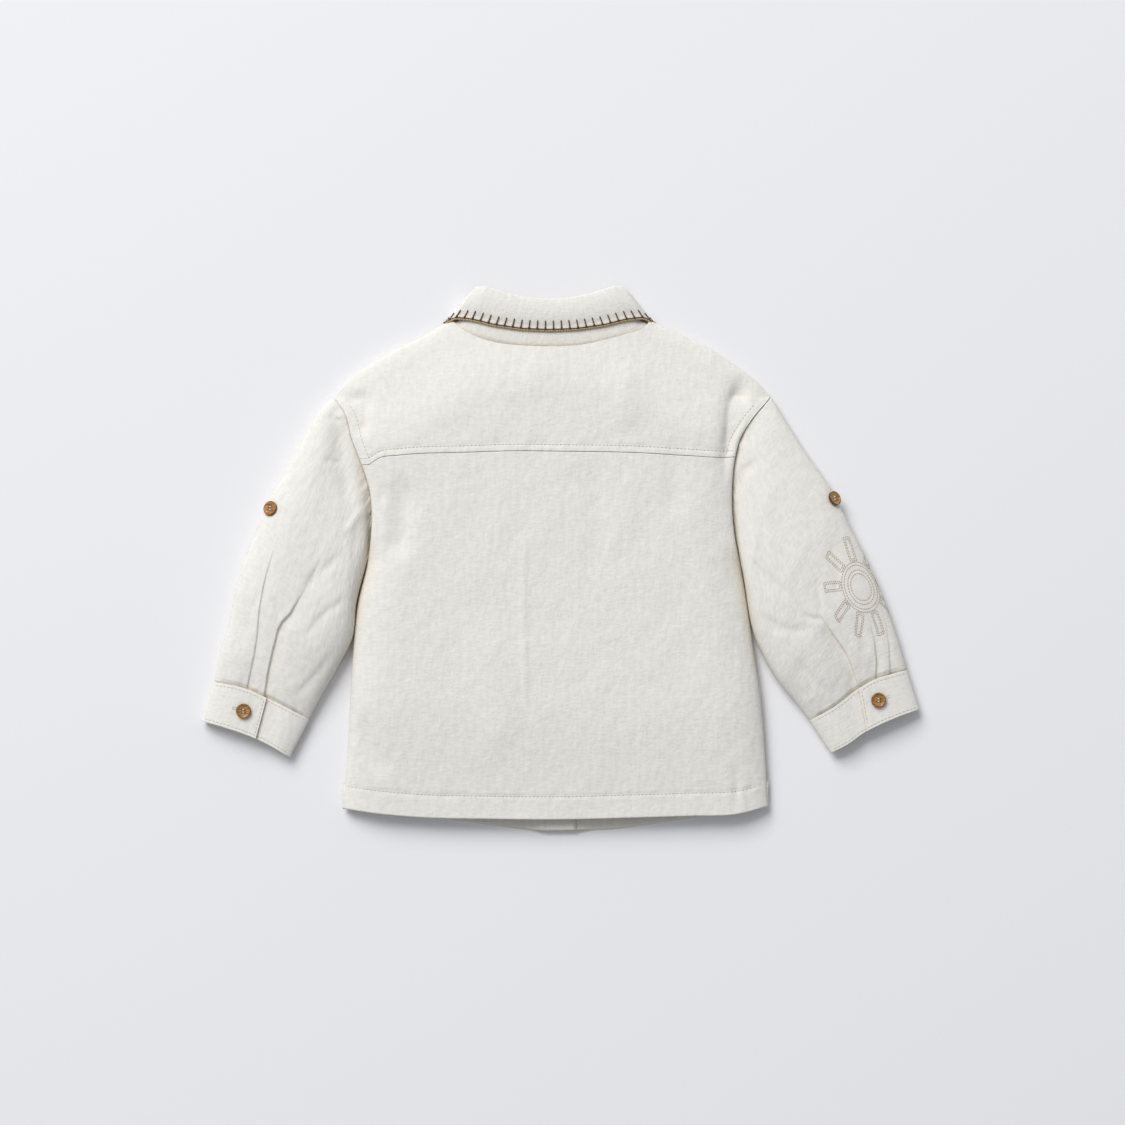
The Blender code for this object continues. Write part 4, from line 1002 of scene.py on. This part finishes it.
def makeCotton():
    look = cottonLook
    cotton, shader = newMaterial("crinkledCotton", {"Roughness": 0.92, "Sheen Weight": 0.12,
                                                    "Specular IOR Level": 0.2})
    place = addNode(cotton, "Attribute", {}, {}, attribute_name="clothPlace")["Vector"]
    total = None
    for scale, size, share in look["grains"]:
        stretched = addNode(cotton, "Mapping", {"Scale": scale}, {"Vector": place})["Vector"]
        grain = addNode(cotton, "TexNoise", {"Scale": size, "Detail": 2.0}, {"Vector": stretched})["Fac"]
        part = addNode(cotton, "Math", {1: share}, {0: grain}, operation="MULTIPLY")[0]
        total = part if total is None else addNode(cotton, "Math", {}, {0: total, 1: part}, operation="ADD")[0]
    colour = addRamp(cotton, total, (look["deepAt"], look["deep"]), (look["paleAt"], look["pale"]))
    # painted shade: where ambient occlusion finds cloth close by, in folds and between pieces, the colour is
    # mixed toward a darker warm tone, painting in shade and warm bounced light
    paintedShadeFactor = addNode(cotton, "AmbientOcclusion", {"Distance": look["paintedFoldShadeReach"]}, {}, samples=4)["AO"]
    colour = addNode(cotton, "Mix", {"A": look["paintedFoldShade"]}, {"Factor": paintedShadeFactor, "B": colour}, data_type="RGBA")
    return finishMaterial(cotton, shader, colour["Result"], total, look["bumpStrength"], look["bump"])


cotton = makeCotton()


def dress(thing, nodes):
    thing.data.materials.clear()
    thing.data.materials.append(cotton)
    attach(thing, "root")
    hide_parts(*nodes)
    polygons = thing.data.polygons
    surface = sum(polygon.area for polygon in polygons) / 2
    print("sewn:", thing.name, 2 * len(polygons), "triangles,", round(surface, 4), "square metres")


backBody = makeBackBody()
backYoke = makeBackYoke()
frontLeft, frontRight = makeFront("left"), makeFront("right")
sleeveLeft, sleeveRight = makeSleeve("left"), makeSleeve("right")
cuffLeft, cuffRight = makeCuff("left"), makeCuff("right")
collarStand = makeCollarStand()
collarLeaf, collarLeafGrid = makeCollarLeaf()
dress(backBody, ["back_body"])
dress(backYoke, ["back_yoke"])
dress(frontLeft, ["front_left"])
dress(frontRight, ["front_right"])
dress(sleeveLeft, ["sleeve_left"])
dress(sleeveRight, ["sleeve_right"])
dress(cuffLeft, ["cuff_left"])
dress(cuffRight, ["cuff_right"])
dress(collarStand, ["collar_stand"])
dress(collarLeaf, ["collar_leaf"])
print("cloth sewn")

# Buttons, modelled once and copied to each place
buttonParts = {
    "radius": 5.5,
    "height": 2.2,
    "rimWidth": 1.1,
    "rimSlope": 0.55,
    "dish": 0.6,
    "middleIn": 1.2,
    "middleDip": 0.12,
    "edgeBevel": 0.35,
    "holeRadius": 0.72,
    "holeOffset": 1.4,
    "threadRadius": 0.42,
    "threadRise": 0.22,
    "threadBend": 0.9,
    "threadEnd": 0.8,
}


def startPiece(name):
    thing = bpy.context.active_object
    thing.name = name
    bpy.ops.object.transform_apply(location=True, rotation=True, scale=True)
    return thing


def pickFaces(thing, wanted):
    # in edit mode: selects the faces that wanted(face) names, and nothing else
    bpy.ops.mesh.select_all(action="DESELECT")
    bpy.ops.mesh.select_mode(type="FACE")
    shape = bmesh.from_edit_mesh(thing.data)
    for face in shape.faces:
        face.select_set(bool(wanted(face)))
    shape.select_flush_mode()
    bmesh.update_edit_mesh(thing.data)


def makeButton():
    height, radius = buttonParts["height"] * mm, buttonParts["radius"] * mm
    bpy.ops.object.select_all(action="DESELECT")
    bpy.ops.mesh.primitive_cylinder_add(vertices=64, radius=radius, depth=height, location=(0, 0, height / 2))
    button = startPiece("buttonModel")
    bpy.ops.object.mode_set(mode="EDIT")
    pickFaces(button, lambda face: face.calc_center_median().z > 0.99 * height)
    bpy.ops.mesh.inset(thickness=buttonParts["rimWidth"] * mm)
    bpy.ops.mesh.inset(thickness=buttonParts["rimSlope"] * mm)
    bpy.ops.transform.translate(value=(0, 0, -buttonParts["dish"] * mm))
    bpy.ops.mesh.inset(thickness=buttonParts["middleIn"] * mm)
    bpy.ops.transform.translate(value=(0, 0, -buttonParts["middleDip"] * mm))
    bpy.ops.object.mode_set(mode="OBJECT")
    soften = button.modifiers.new("soften", "BEVEL")
    soften.width = buttonParts["edgeBevel"] * mm
    soften.segments = 3
    soften.limit_method = "ANGLE"
    soften.angle_limit = math.radians(25)
    applyModifiers(button)
    drills = []
    for k in range(4):
        angle = math.pi / 4 + k * math.pi / 2
        offset = buttonParts["holeOffset"] * mm
        bpy.ops.object.select_all(action="DESELECT")
        bpy.ops.mesh.primitive_cylinder_add(
            vertices=20, radius=buttonParts["holeRadius"] * mm, depth=4 * height,
            location=(offset * math.cos(angle), offset * math.sin(angle), 0))
        drills.append(startPiece("drill"))
    for drill in drills:
        hole = button.modifiers.new("hole", "BOOLEAN")
        hole.object = drill
        hole.solver = "EXACT"
    applyModifiers(button)
    for drill in drills:
        bpy.data.objects.remove(drill)
    reaches = [min(1.0, vertex.co.xy.length / radius) for vertex in button.data.vertices]
    button.data.attributes.new("fromCentre", "FLOAT", "POINT").data.foreach_set("value", reaches)
    bpy.ops.object.select_all(action="DESELECT")
    button.select_set(True)
    bpy.context.view_layer.objects.active = button
    bpy.ops.object.shade_smooth_by_angle(angle=math.radians(35))
    return button


def makeButtonThread():
    # two bars of thread that cross the button from hole to hole
    reach = buttonParts["holeOffset"] * mm * math.sqrt(2)
    height = (buttonParts["height"] - buttonParts["dish"]) * mm
    bars = []
    for side in (-1, 1):
        bpy.ops.object.select_all(action="DESELECT")
        bpy.ops.mesh.primitive_cylinder_add(
            vertices=12, radius=buttonParts["threadRadius"] * mm, depth=reach,
            location=(0, side * reach / 2, height), rotation=(0, math.pi / 2, 0))
        bar = startPiece("threadBar")
        bpy.ops.object.mode_set(mode="EDIT")
        for at in (-reach / 4, reach / 4):
            bpy.ops.mesh.select_all(action="SELECT")
            bpy.ops.mesh.bisect(plane_co=(at, 0, 0), plane_no=(1, 0, 0))
        for sign in (-1, 1):
            pickFaces(bar, lambda face, sign=sign: face.calc_center_median().x * sign > 0.49 * reach)
            bpy.ops.transform.translate(value=(0, 0, -buttonParts["threadBend"] * mm))
            ending = (0, 0, -buttonParts["threadEnd"] * mm)
            bpy.ops.mesh.extrude_region_move(TRANSFORM_OT_translate={"value": ending})
        bpy.ops.object.mode_set(mode="OBJECT")
        bar.data.transform(Matrix.Translation((0, 0, buttonParts["threadRise"] * mm)))
        bars.append(bar)
    bpy.ops.object.select_all(action="DESELECT")
    for bar in bars:
        bar.select_set(True)
    bpy.context.view_layer.objects.active = bars[0]
    bpy.ops.object.join()
    thread = bpy.context.active_object
    thread.name = "buttonThreadModel"
    rounding = thread.modifiers.new("rounding", "SUBSURF")
    rounding.levels = 1
    rounding.render_levels = 1
    applyModifiers(thread)
    thread.data.shade_smooth()
    return thread


def nodePlace(node, up):
    # the place and the turn of a button's node: its thin direction is the button's axis
    points = np.array([vertex.co[:] for vertex in bpy.data.objects[node].data.vertices])
    points = np.unique(np.round(points, 7), axis=0)
    middle = points.mean(axis=0)
    axis = np.linalg.eigh(np.cov((points - middle).T))[1][:, 0]
    axis = axis if axis[2] * up > 0 else -axis
    seat = (points @ axis).min()
    side = np.cross([0.0, 1.0, 0.0], axis)
    side /= np.linalg.norm(side)
    front = np.cross(axis, side)
    flat = points - np.outer(points @ axis, axis)
    centre = (flat.max(axis=0) + flat.min(axis=0)) / 2
    centre = centre - axis * (centre @ axis) + axis * seat
    return Matrix([[side[i], front[i], axis[i], centre[i]] for i in range(3)] + [[0, 0, 0, 1]])


def copyTo(model, name, place, material, node=None):
    thing = bpy.data.objects.new(name, model.data.copy())
    bpy.context.scene.collection.objects.link(thing)
    thing.data.transform(place)
    thing.data.materials.clear()
    thing.data.materials.append(material)
    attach(thing, "root")
    if node:
        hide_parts(node)
    return thing


hornLook = {
    "pale": (0.50, 0.25, 0.075, 1),
    "deep": (0.17, 0.07, 0.02, 1),
    "rim": (0.09, 0.04, 0.016, 1),
    "rimFrom": 0.86,
    "stretch": (1.0, 5.0, 1.0),
    "grain": 260.0,
    "roughness": 0.26,
}


def makeHorn():
    look = hornLook
    horn, shader = newMaterial("hornButton", {"Roughness": look["roughness"], "Coat Weight": 0.15})
    place = addNode(horn, "TexCoord", {}, {})["Object"]
    stretched = addNode(horn, "Mapping", {"Scale": look["stretch"]}, {"Vector": place})["Vector"]
    grain = addNode(horn, "TexNoise", {"Scale": look["grain"], "Detail": 4.0}, {"Vector": stretched})["Fac"]
    streaks = addRamp(horn, grain, (0.35, look["deep"]), (0.62, look["pale"]))
    reach = addNode(horn, "Attribute", {}, {}, attribute_name="fromCentre")["Fac"]
    edge = addNode(horn, "MapRange", {"From Min": look["rimFrom"], "From Max": 1.0}, {"Value": reach})["Result"]
    colour = addNode(horn, "Mix", {"B": look["rim"]}, {"Factor": edge, "A": streaks}, data_type="RGBA")
    return finishMaterial(horn, shader, colour["Result"], grain, 0.12, 0.0002)


threadColours = {
    "buttonCream": (0.83, 0.74, 0.60),
    "clothThread": (0.74, 0.70, 0.62),
    "beigeThread": (0.56, 0.475, 0.375),
    "brownThread": (0.12, 0.068, 0.028),
    # painted light: this tan colour stands for the lit lower side of the brown edge stitching on the collar
    # leaf, in warm bounced light
    "paintedLitEdgeThread": (0.60, 0.45, 0.24),
}


threadLook = {"dark": 0.72, "twist": 900.0, "uneven": 1.5}


def makeThread(name):
    # twisted thread: bands that wind round it
    thread, shader = newMaterial(name, {"Roughness": 0.8, "Sheen Weight": 0.2})
    place = addNode(thread, "TexCoord", {}, {})["Object"]
    twist = addNode(thread, "TexWave", {"Scale": threadLook["twist"], "Distortion": threadLook["uneven"]},
                    {"Vector": place}, bands_direction="DIAGONAL")["Fac"]
    colour = threadColours[name]
    dark = [threadLook["dark"] * value for value in colour]
    shades = addRamp(thread, twist, (0.0, (*dark, 1)), (1.0, (*colour, 1)))
    return finishMaterial(thread, shader, shades, twist, 0.4, 0.0001)


horn = makeHorn()
threads = {name: makeThread(name) for name in threadColours}
buttonNodes = [(f"front_button_{number}", f"frontButton{number}", -1) for number in range(1, 6)]
buttonNodes += [("cuff_button_left", "cuffButtonLeft", 1), ("cuff_button_right", "cuffButtonRight", 1),
                ("tab_button_left", "tabButtonLeft", 1), ("tab_button_right", "tabButtonRight", 1)]
buttonModel, threadModel = makeButton(), makeButtonThread()
buttonPlaces = {}
for node, name, up in buttonNodes:
    place = nodePlace(node, up)
    buttonPlaces[node] = place
    copyTo(buttonModel, name, place, horn, node)
    copyTo(threadModel, name + "Thread", place, threads["buttonCream"])
bpy.data.objects.remove(buttonModel)
bpy.data.objects.remove(threadModel)
print("buttons sewn on:", len(buttonNodes))


# Stitches: one is modelled, and each row is made of copies of it
stitchShape = {"bendAt": 0.3, "endSize": 0.55, "endDip": 0.45, "rise": 0.3, "overFloor": 0.05}


def makeStitch():
    # a stitch 1 long and 1 thick, along x, that dips into the cloth at both ends
    bpy.ops.object.select_all(action="DESELECT")
    bpy.ops.mesh.primitive_cylinder_add(vertices=6, radius=0.5, depth=1.0, rotation=(0, math.pi / 2, 0))
    stitch = startPiece("stitchModel")
    bpy.ops.object.mode_set(mode="EDIT")
    for at in (-stitchShape["bendAt"], stitchShape["bendAt"]):
        bpy.ops.mesh.select_all(action="SELECT")
        bpy.ops.mesh.bisect(plane_co=(at, 0, 0), plane_no=(1, 0, 0))
    for sign in (-1, 1):
        pickFaces(stitch, lambda face, sign=sign: face.calc_center_median().x * sign > 0.49)
        bpy.ops.transform.resize(value=(1, stitchShape["endSize"], stitchShape["endSize"]))
        bpy.ops.transform.translate(value=(0, 0, -stitchShape["endDip"]))
    bpy.ops.object.mode_set(mode="OBJECT")
    shape = stitch.data
    points = np.array([vertex.co[:] for vertex in shape.vertices])
    faces = [list(polygon.vertices) for polygon in shape.polygons]
    bpy.data.objects.remove(stitch)
    return points, faces


stitchPoints, stitchFaces = makeStitch()


def sewStitches(name, stitches, material):
    # stitches are (start, end, cloth's outward direction, thickness), in metres
    points, faces = [], []
    for start, end, outward, thick in stitches:
        run = end - start
        length = np.linalg.norm(run)
        along = run / length
        side = np.cross(outward, along)
        side /= np.linalg.norm(side)
        above = np.cross(along, side)
        turn = np.stack([along * length, side * thick, above * thick])
        first = len(points) * len(stitchPoints)
        placed = stitchPoints @ turn + (start + end) / 2 + above * thick * stitchShape["rise"]
        # under the shirt a stitch is pressed up into the cloth, clear of the floor
        placed[:, 2] += max(0.0, stitchShape["overFloor"] * mm - placed[:, 2].min())
        points.append(placed)
        faces += [[first + corner for corner in face] for face in stitchFaces]
    mesh = bpy.data.meshes.new(name)
    mesh.from_pydata(np.concatenate(points).tolist(), [], faces)
    mesh.shade_smooth()
    mesh.materials.append(material)
    thing = bpy.data.objects.new(name, mesh)
    bpy.context.scene.collection.objects.link(thing)
    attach(thing, "root")
    print("stitched:", name, len(stitches))


def treeOf(thing):
    return BVHTree.FromPolygons([vertex.co[:] for vertex in thing.data.vertices],
                                [list(polygon.vertices) for polygon in thing.data.polygons])


def onCloth(tree, x, y, down):
    # the cloth's outer point over, or under, a place of the plan
    start = Vector(((x + centreX) * mm, y * mm, 0.1 if down else -0.1))
    place, normal, _, _ = tree.ray_cast(start, Vector((0, 0, -1 if down else 1)))
    if place is None:
        return None
    normal = np.array(normal)
    return np.array(place), normal if (normal[2] > 0) == down else -normal


def lengthsAlong(line):
    return np.concatenate([[0.0], np.cumsum(np.linalg.norm(np.diff(line, axis=0), axis=1))])


def pointAt(line, marks, at):
    return np.array([np.interp(at, marks, line[:, axis]) for axis in range(3)])


def evenlySpaced(line, pitch):
    # points a pitch apart along a plan line
    marks = lengthsAlong(line)
    at = np.arange(0.0, marks[-1], pitch)
    return np.stack([np.interp(at, marks, line[:, k]) for k in range(line.shape[1])], axis=1)


def stitchBetween(first, second, thick):
    # a stitch between two places on the cloth, each with its outward direction
    return first[0], second[0], first[1] + second[1], thick * mm


def runningStitches(tree, line, sizes, down):
    made = []
    spots = evenlySpaced(line, sizes["pitch"])
    for here, onwards in zip(spots[:-1], spots[1:]):
        step = (onwards - here) * sizes["length"] / sizes["pitch"]
        first, second = onCloth(tree, *here, down), onCloth(tree, *(here + step), down)
        # a stitch is left out where the cloth ends, or drops away under it
        if first and second and np.linalg.norm(first[0] - second[0]) <= 1.6 * sizes["length"] * mm:
            made.append(stitchBetween(first, second, sizes["thick"]))
    return made


topstitch = {
    "pitch": 2.9,
    "length": 2.2,
    "thick": 0.42,
    "armholeIn": 7.5,
    "cuffIn": 0.075,
    "cuffEndIn": 0.022,
    "placketIn": 1.6,
    "clear": 1.5,  # how far a row ends from an edge
    "neckClear": 4.0,
    "insideUp": (-202.5, -184.0),
}


def sewTopstitches():
    cloths = (backBody, backYoke, frontLeft, frontRight, cuffLeft, cuffRight)
    trees = {thing.name: treeOf(thing) for thing in cloths}
    clear, rows = topstitch["clear"], []
    x = np.linspace(-160, 160, 161)
    inYoke = (x > bodyEdge("left", 80.0) + clear) & (x < bodyEdge("right", 80.0) - clear)
    yokeLine = np.stack([x, edgeOver(yokeSeam, x) + seamStitching["yokeUp"]], axis=1)[inYoke]
    hemLine = np.stack([x, edgeOver(backHem, x) + seamStitching["hemUp"]], axis=1)[3:-3]
    frontLine = np.stack([x, edgeOver(frontHem, x) + seamStitching["hemUp"]], axis=1)[4:-4]
    rows.append(("backYoke", yokeLine, True))
    rows.append(("backBody", hemLine, True))
    closure, half = shirt["closureX"], shirt["placketHalfWidth"]
    for side in ("left", "right"):
        sign, piece, cuffPiece = sides[side]["sign"], pieceOf("front", side), pieceOf("cuff", side)
        edge = closure - sign * half
        rows.append((piece, frontLine[(frontLine[:, 0] - edge) * sign > clear], False))
        for inward in (topstitch["placketIn"], 2 * half - topstitch["placketIn"]):
            at = edge + sign * inward
            line = np.array([(at, edgeOver(frontHem, at) + clear),
                             (at, edgeOver(frontNeck, at) - topstitch["neckClear"])])
            rows.append((piece, line, False))
        at = closure + sign * half
        rows.append((piece, np.array([(at, up) for up in topstitch["insideUp"]]), True))
        y = np.linspace(sides[side]["armhole"][0][1] - 6.0, yokeSeam[0][1] + 3.0, 60)
        line = np.stack([bodyEdge(side, y) - sign * topstitch["armholeIn"], y], axis=1)
        rows.append(("backYoke", line, True))
        lapSeam, lapHem = sides[side]["cuffLap"]
        for down in (topstitch["cuffIn"], 1 - topstitch["cuffIn"]):
            across = np.linspace(0.03, 0.97, 80)
            planX, planY, _ = cuffPlan(side, across, down)
            for above in (True, False):
                rows.append((cuffPiece, np.stack([planX, planY], axis=1), above))
        down = np.linspace(0.09, 0.91, 20)
        lap = lapSeam * (1 - down) + lapHem * down - topstitch["cuffEndIn"]
        spots = [cuffPlan(side, np.array([a]), d) for a, d in zip(lap, down)]
        line = np.array([[planX[0], planY[0]] for planX, planY, _ in spots])
        rows.append((cuffPiece, line, True))
    stitches = []
    for piece, line, above in rows:
        stitches += runningStitches(trees[piece], line, topstitch, above)
    sewStitches("topstitching", stitches, threads["clothThread"])
    return trees


trees = sewTopstitches()

buttonhole = {
    "halfLength": 7.2,
    "halfWidth": 0.75,
    "shift": 1.5,
    "pitch": 0.62,
    "bite": 1.1,
    "thick": 0.34,
    "places": [  # the button's node, the hole's direction, the cloth, whether it is sewn from above
        ("cuff_button_left", (-0.96, 0.26), "cuffLeft", True),
        ("cuff_button_right", (0.94, 0.34), "cuffRight", True),
        *[(f"front_button_{number}", (0.0, 1.0), "frontRight", False) for number in range(1, 6)],
    ],
}


def sewButtonholes():
    stitches = []
    for node, (alongX, alongY), piece, above in buttonhole["places"]:
        centre = np.array(buttonPlaces[node].translation[:2]) / mm - [centreX, 0]
        along, side = np.array([alongX, alongY]), np.array([-alongY, alongX])
        for at in np.arange(-buttonhole["halfLength"], buttonhole["halfLength"], buttonhole["pitch"]):
            for sign in (-1, 1):
                out = buttonhole["halfWidth"] - buttonhole["bite"] / 2
                near = centre + along * (at + buttonhole["shift"]) + side * sign * out
                far = near + side * sign * buttonhole["bite"]
                first, second = [onCloth(trees[piece], *place, above) for place in (near, far)]
                if first and second:
                    stitches.append(stitchBetween(first, second, buttonhole["thick"]))
    sewStitches("buttonholeStitching", stitches, threads["clothThread"])


sewButtonholes()

sun = {
    "centre": (229.9, -21.3),
    "acrossShare": 0.74,
    "rings": (19.5, 17.1, 13.4, 10.5),
    "rays": 9,
    "firstRay": 74.0,
    "rayStart": 20.5,
    "rayLength": 18.5,
    "rayWidths": ((7.4, 0.0), (4.4, 1.4)),
    "pitch": 2.2,
    "length": 1.6,
    "thick": 0.52,
}


def embroiderSun():
    # drawn on the flat cloth and carried to the sleeve, whose rows give the distance round it
    loops = sleeveLoops["right"]
    planX, planY = loops[:, :, 0] / mm - centreX, loops[:, :, 1] / mm
    top, (sunX, sunY) = sleeveGrid["top"], sun["centre"]
    gaps = np.hypot(planX[:, :top] - sunX, planY[:, :top] - sunY)
    row, column = np.unravel_index(gaps.argmin(), gaps.shape)
    rowLength = np.linalg.norm(loops[row + 1, column] - loops[row - 1, column]) / 2 / mm
    ring = np.concatenate([loops, loops[:, :1]], axis=1)
    steps = np.linalg.norm(np.diff(ring, axis=1), axis=2) / mm
    around = np.concatenate([np.zeros((len(loops), 1)), np.cumsum(steps, axis=1)], axis=1)

    def onSleeve(outward, up):
        at = row - up / rowLength
        low = int(math.floor(at))
        share = at - low
        here = []
        for k in (low, low + 1):
            girth = around[k, -1]
            reach = (around[k, column] - around[k, 0] - outward) % girth
            here.append(pointAt(ring[k], around[k], reach))
        return here[0] * (1 - share) + here[1] * share

    def frameAt(outward, up):
        here = onSleeve(outward, up)
        right = onSleeve(outward + 1.0, up) - onSleeve(outward - 1.0, up)
        above = onSleeve(outward, up + 1.0) - onSleeve(outward, up - 1.0)
        return here, np.cross(right, above) / np.linalg.norm(np.cross(right, above))

    lines = []
    for radius in sun["rings"]:
        turn = np.linspace(0, 2 * math.pi, 91)
        lines.append(np.stack([radius * np.cos(turn), radius * np.sin(turn)], axis=1))
    for k in range(sun["rays"]):
        turn = math.radians(sun["firstRay"] + k * 360.0 / sun["rays"])
        along, side = np.array([math.cos(turn), math.sin(turn)]), np.array([-math.sin(turn), math.cos(turn)])
        for width, inset in sun["rayWidths"]:
            start, end, half = sun["rayStart"] + inset, sun["rayStart"] + sun["rayLength"] - inset, width / 2
            corners = [(start, -half), (end, -half), (end, half), (start, half), (start, -half)]
            lines.append(np.array([along * u + side * v for u, v in corners]))
    stitches = []
    for line in lines:
        spots = evenlySpaced(line, sun["pitch"])
        for here, onwards in zip(spots, np.roll(spots, -1, axis=0)):
            step = (onwards - here) * sun["length"] / sun["pitch"]
            ends = here * [sun["acrossShare"], 1.0], (here + step) * [sun["acrossShare"], 1.0]
            first, second = [frameAt(*place) for place in ends]
            stitches.append(stitchBetween(first, second, sun["thick"]))
    sewStitches("sunEmbroidery", stitches, threads["beigeThread"])


embroiderSun()

blanketStitch = {
    "pitch": 6.2,
    "leg": (0.0, 2.1, 4.2, 6.4),
    "legRise": 0.2,
    "legOverlap": 0.1,
    "footRise": 0.25,
    "roundEdge": (0.1, 0.9),  # up and down from the foot, round the leaf's edge
    "legThick": 0.95,
    "headThick": 0.68,
    "knotThick": 1.4,
    "knotLength": (0.3, 1.9),  # out past the edge, and in over the leaf
    "overEdge": 0.1,
    # painted light: sizes of the tan line laid just under and past the leaf's edge, which stands for the lit
    # side of the edge stitching
    "paintedLitEdgeThick": 1.4,
    "paintedLitEdgePitch": 2.0,
    "paintedLitEdgeUnder": (0.35, 0.75),  # down from the edge, and out
    "paintedLitEdgeOverlap": 1.08,
}


def sewBlanketStitch():
    # legs stand on the leaf at equal distances, and the thread runs along its edge from leg to leg
    leaf = collarLeafGrid
    edge, inner = leaf[-1], leaf[-8]
    marks = lengthsAlong(edge) / mm

    def at(row, mark):
        return pointAt(row, marks, mark)

    def outwardAt(mark):
        along = at(edge, mark + 1.0) - at(edge, mark - 1.0)
        inward = at(inner, mark) - at(edge, mark)
        outward = np.cross(along, inward)
        return outward / np.linalg.norm(outward), inward / np.linalg.norm(inward)

    brown, paintedLitEdge = [], []
    count = int(round((marks[-1] - 2.0) / blanketStitch["pitch"]))
    spots = np.linspace(1.0, marks[-1] - 1.0, count + 1)
    for mark in spots:
        outward, inward = outwardAt(mark)
        foot = at(edge, mark) + outward * blanketStitch["footRise"] * mm
        # the leg follows the leaf up from its edge
        line = np.array([at(row, mark) for row in leaf[::-1]])
        reach = lengthsAlong(line) / mm
        legs = [pointAt(line, reach, up) for up in blanketStitch["leg"]]
        for low, high in zip(legs[:-1], legs[1:]):
            above = outward - (high - low) * (outward @ (high - low)) / ((high - low) @ (high - low))
            above /= np.linalg.norm(above)
            raised = above * blanketStitch["legRise"] * mm
            end = high + (high - low) * blanketStitch["legOverlap"] + raised
            brown.append((low + raised, end, above, blanketStitch["legThick"] * mm))
        past, over = blanketStitch["knotLength"]
        brown.append((foot - inward * past * mm, foot + inward * over * mm, outward,
                      blanketStitch["knotThick"] * mm))
        above, below = blanketStitch["roundEdge"]
        brown.append((foot + outward * above * mm, foot - outward * below * mm, -inward,
                      blanketStitch["legThick"] * mm))
    for low, high in zip(spots[:-1], spots[1:]):
        for k in range(3):
            first, second = low + (high - low) * k / 3, low + (high - low) * (k + 1.06) / 3
            outward, inward = outwardAt((first + second) / 2)
            raised = outward * blanketStitch["overEdge"] * mm
            brown.append((at(edge, first) + raised, at(edge, second) + raised, outward,
                          blanketStitch["headThick"] * mm))
    # painted light: a tan line of thread pieces just under and past the leaf's edge, standing in for the lit
    # lower side of the brown edge stitching in warm bounced light
    paintedLitEdgePitch = blanketStitch["paintedLitEdgePitch"]
    lower, out = blanketStitch["paintedLitEdgeUnder"]
    for mark in np.arange(0.5, marks[-1] - paintedLitEdgePitch, paintedLitEdgePitch):
        outward, inward = outwardAt(mark)
        under = -outward * lower * mm - inward * out * mm
        end = at(edge, mark + blanketStitch["paintedLitEdgeOverlap"] * paintedLitEdgePitch) + under
        paintedLitEdge.append((at(edge, mark) + under, end, -inward, blanketStitch["paintedLitEdgeThick"] * mm))
    sewStitches("collarBlanketStitch", brown, threads["brownThread"])
    sewStitches("collarEdgePaintedLight", paintedLitEdge, threads["paintedLitEdgeThread"])


sewBlanketStitch()

# Floor, light and camera
studio = {
    "floorColour": (0.86, 0.865, 0.89),
    "floorSize": 8.0,
    "floorBelow": 0.0002,
    "airColour": (0.94, 0.965, 1.0),
    "ambient": 0.33,
    "lights": [  # name, place, size, power, colour
        ("wideKey", (-2.9, 5.0, 5.3), 4.6, 560.0, (1.0, 0.99, 0.985)),
        ("overhead", (-0.9, 0.7, 3.4), 3.0, 10.0, (1.0, 0.99, 0.985)),
    ],
    "cameraHeight": 2.5,
    "sensor": 36.0,
    "frameWidth": 0.84375,
    "frameCentre": (0.0017, -0.0029),
    "focusHeight": 0.006,
}


def makeStudio():
    bpy.ops.mesh.primitive_plane_add(size=studio["floorSize"], location=(0, 0, -studio["floorBelow"]))
    floor = bpy.context.active_object
    floor.name = "floor"
    paper, _ = newMaterial("paleFloor", {"Base Color": (*studio["floorColour"], 1), "Roughness": 0.9,
                                         "Specular IOR Level": 0.1})
    floor.data.materials.append(paper)
    world = bpy.data.worlds.new("softRoom")
    bpy.context.scene.world = world
    world.use_nodes = True
    air = world.node_tree.nodes["Background"]
    air.inputs["Color"].default_value = (*studio["airColour"], 1)
    air.inputs["Strength"].default_value = studio["ambient"]
    for name, place, size, power, colour in studio["lights"]:
        bpy.ops.object.light_add(type="AREA", location=place)
        lamp = bpy.context.active_object
        lamp.name = name
        lamp.data.size = size
        lamp.data.energy = power
        lamp.data.color = colour
        lamp.rotation_euler = (-Vector(place)).to_track_quat("-Z", "Y").to_euler()
    place = (*studio["frameCentre"], studio["cameraHeight"])
    bpy.ops.object.camera_add(location=place, rotation=(0, 0, 0))
    camera = bpy.context.active_object
    camera.data.sensor_width = studio["sensor"]
    distance = studio["cameraHeight"] - studio["focusHeight"]
    camera.data.lens = studio["sensor"] * distance / studio["frameWidth"]
    bpy.context.scene.camera = camera
    bpy.context.scene.view_settings.view_transform = "Standard"
    bpy.context.scene.view_settings.look = "None"


makeStudio()
print("studio set")
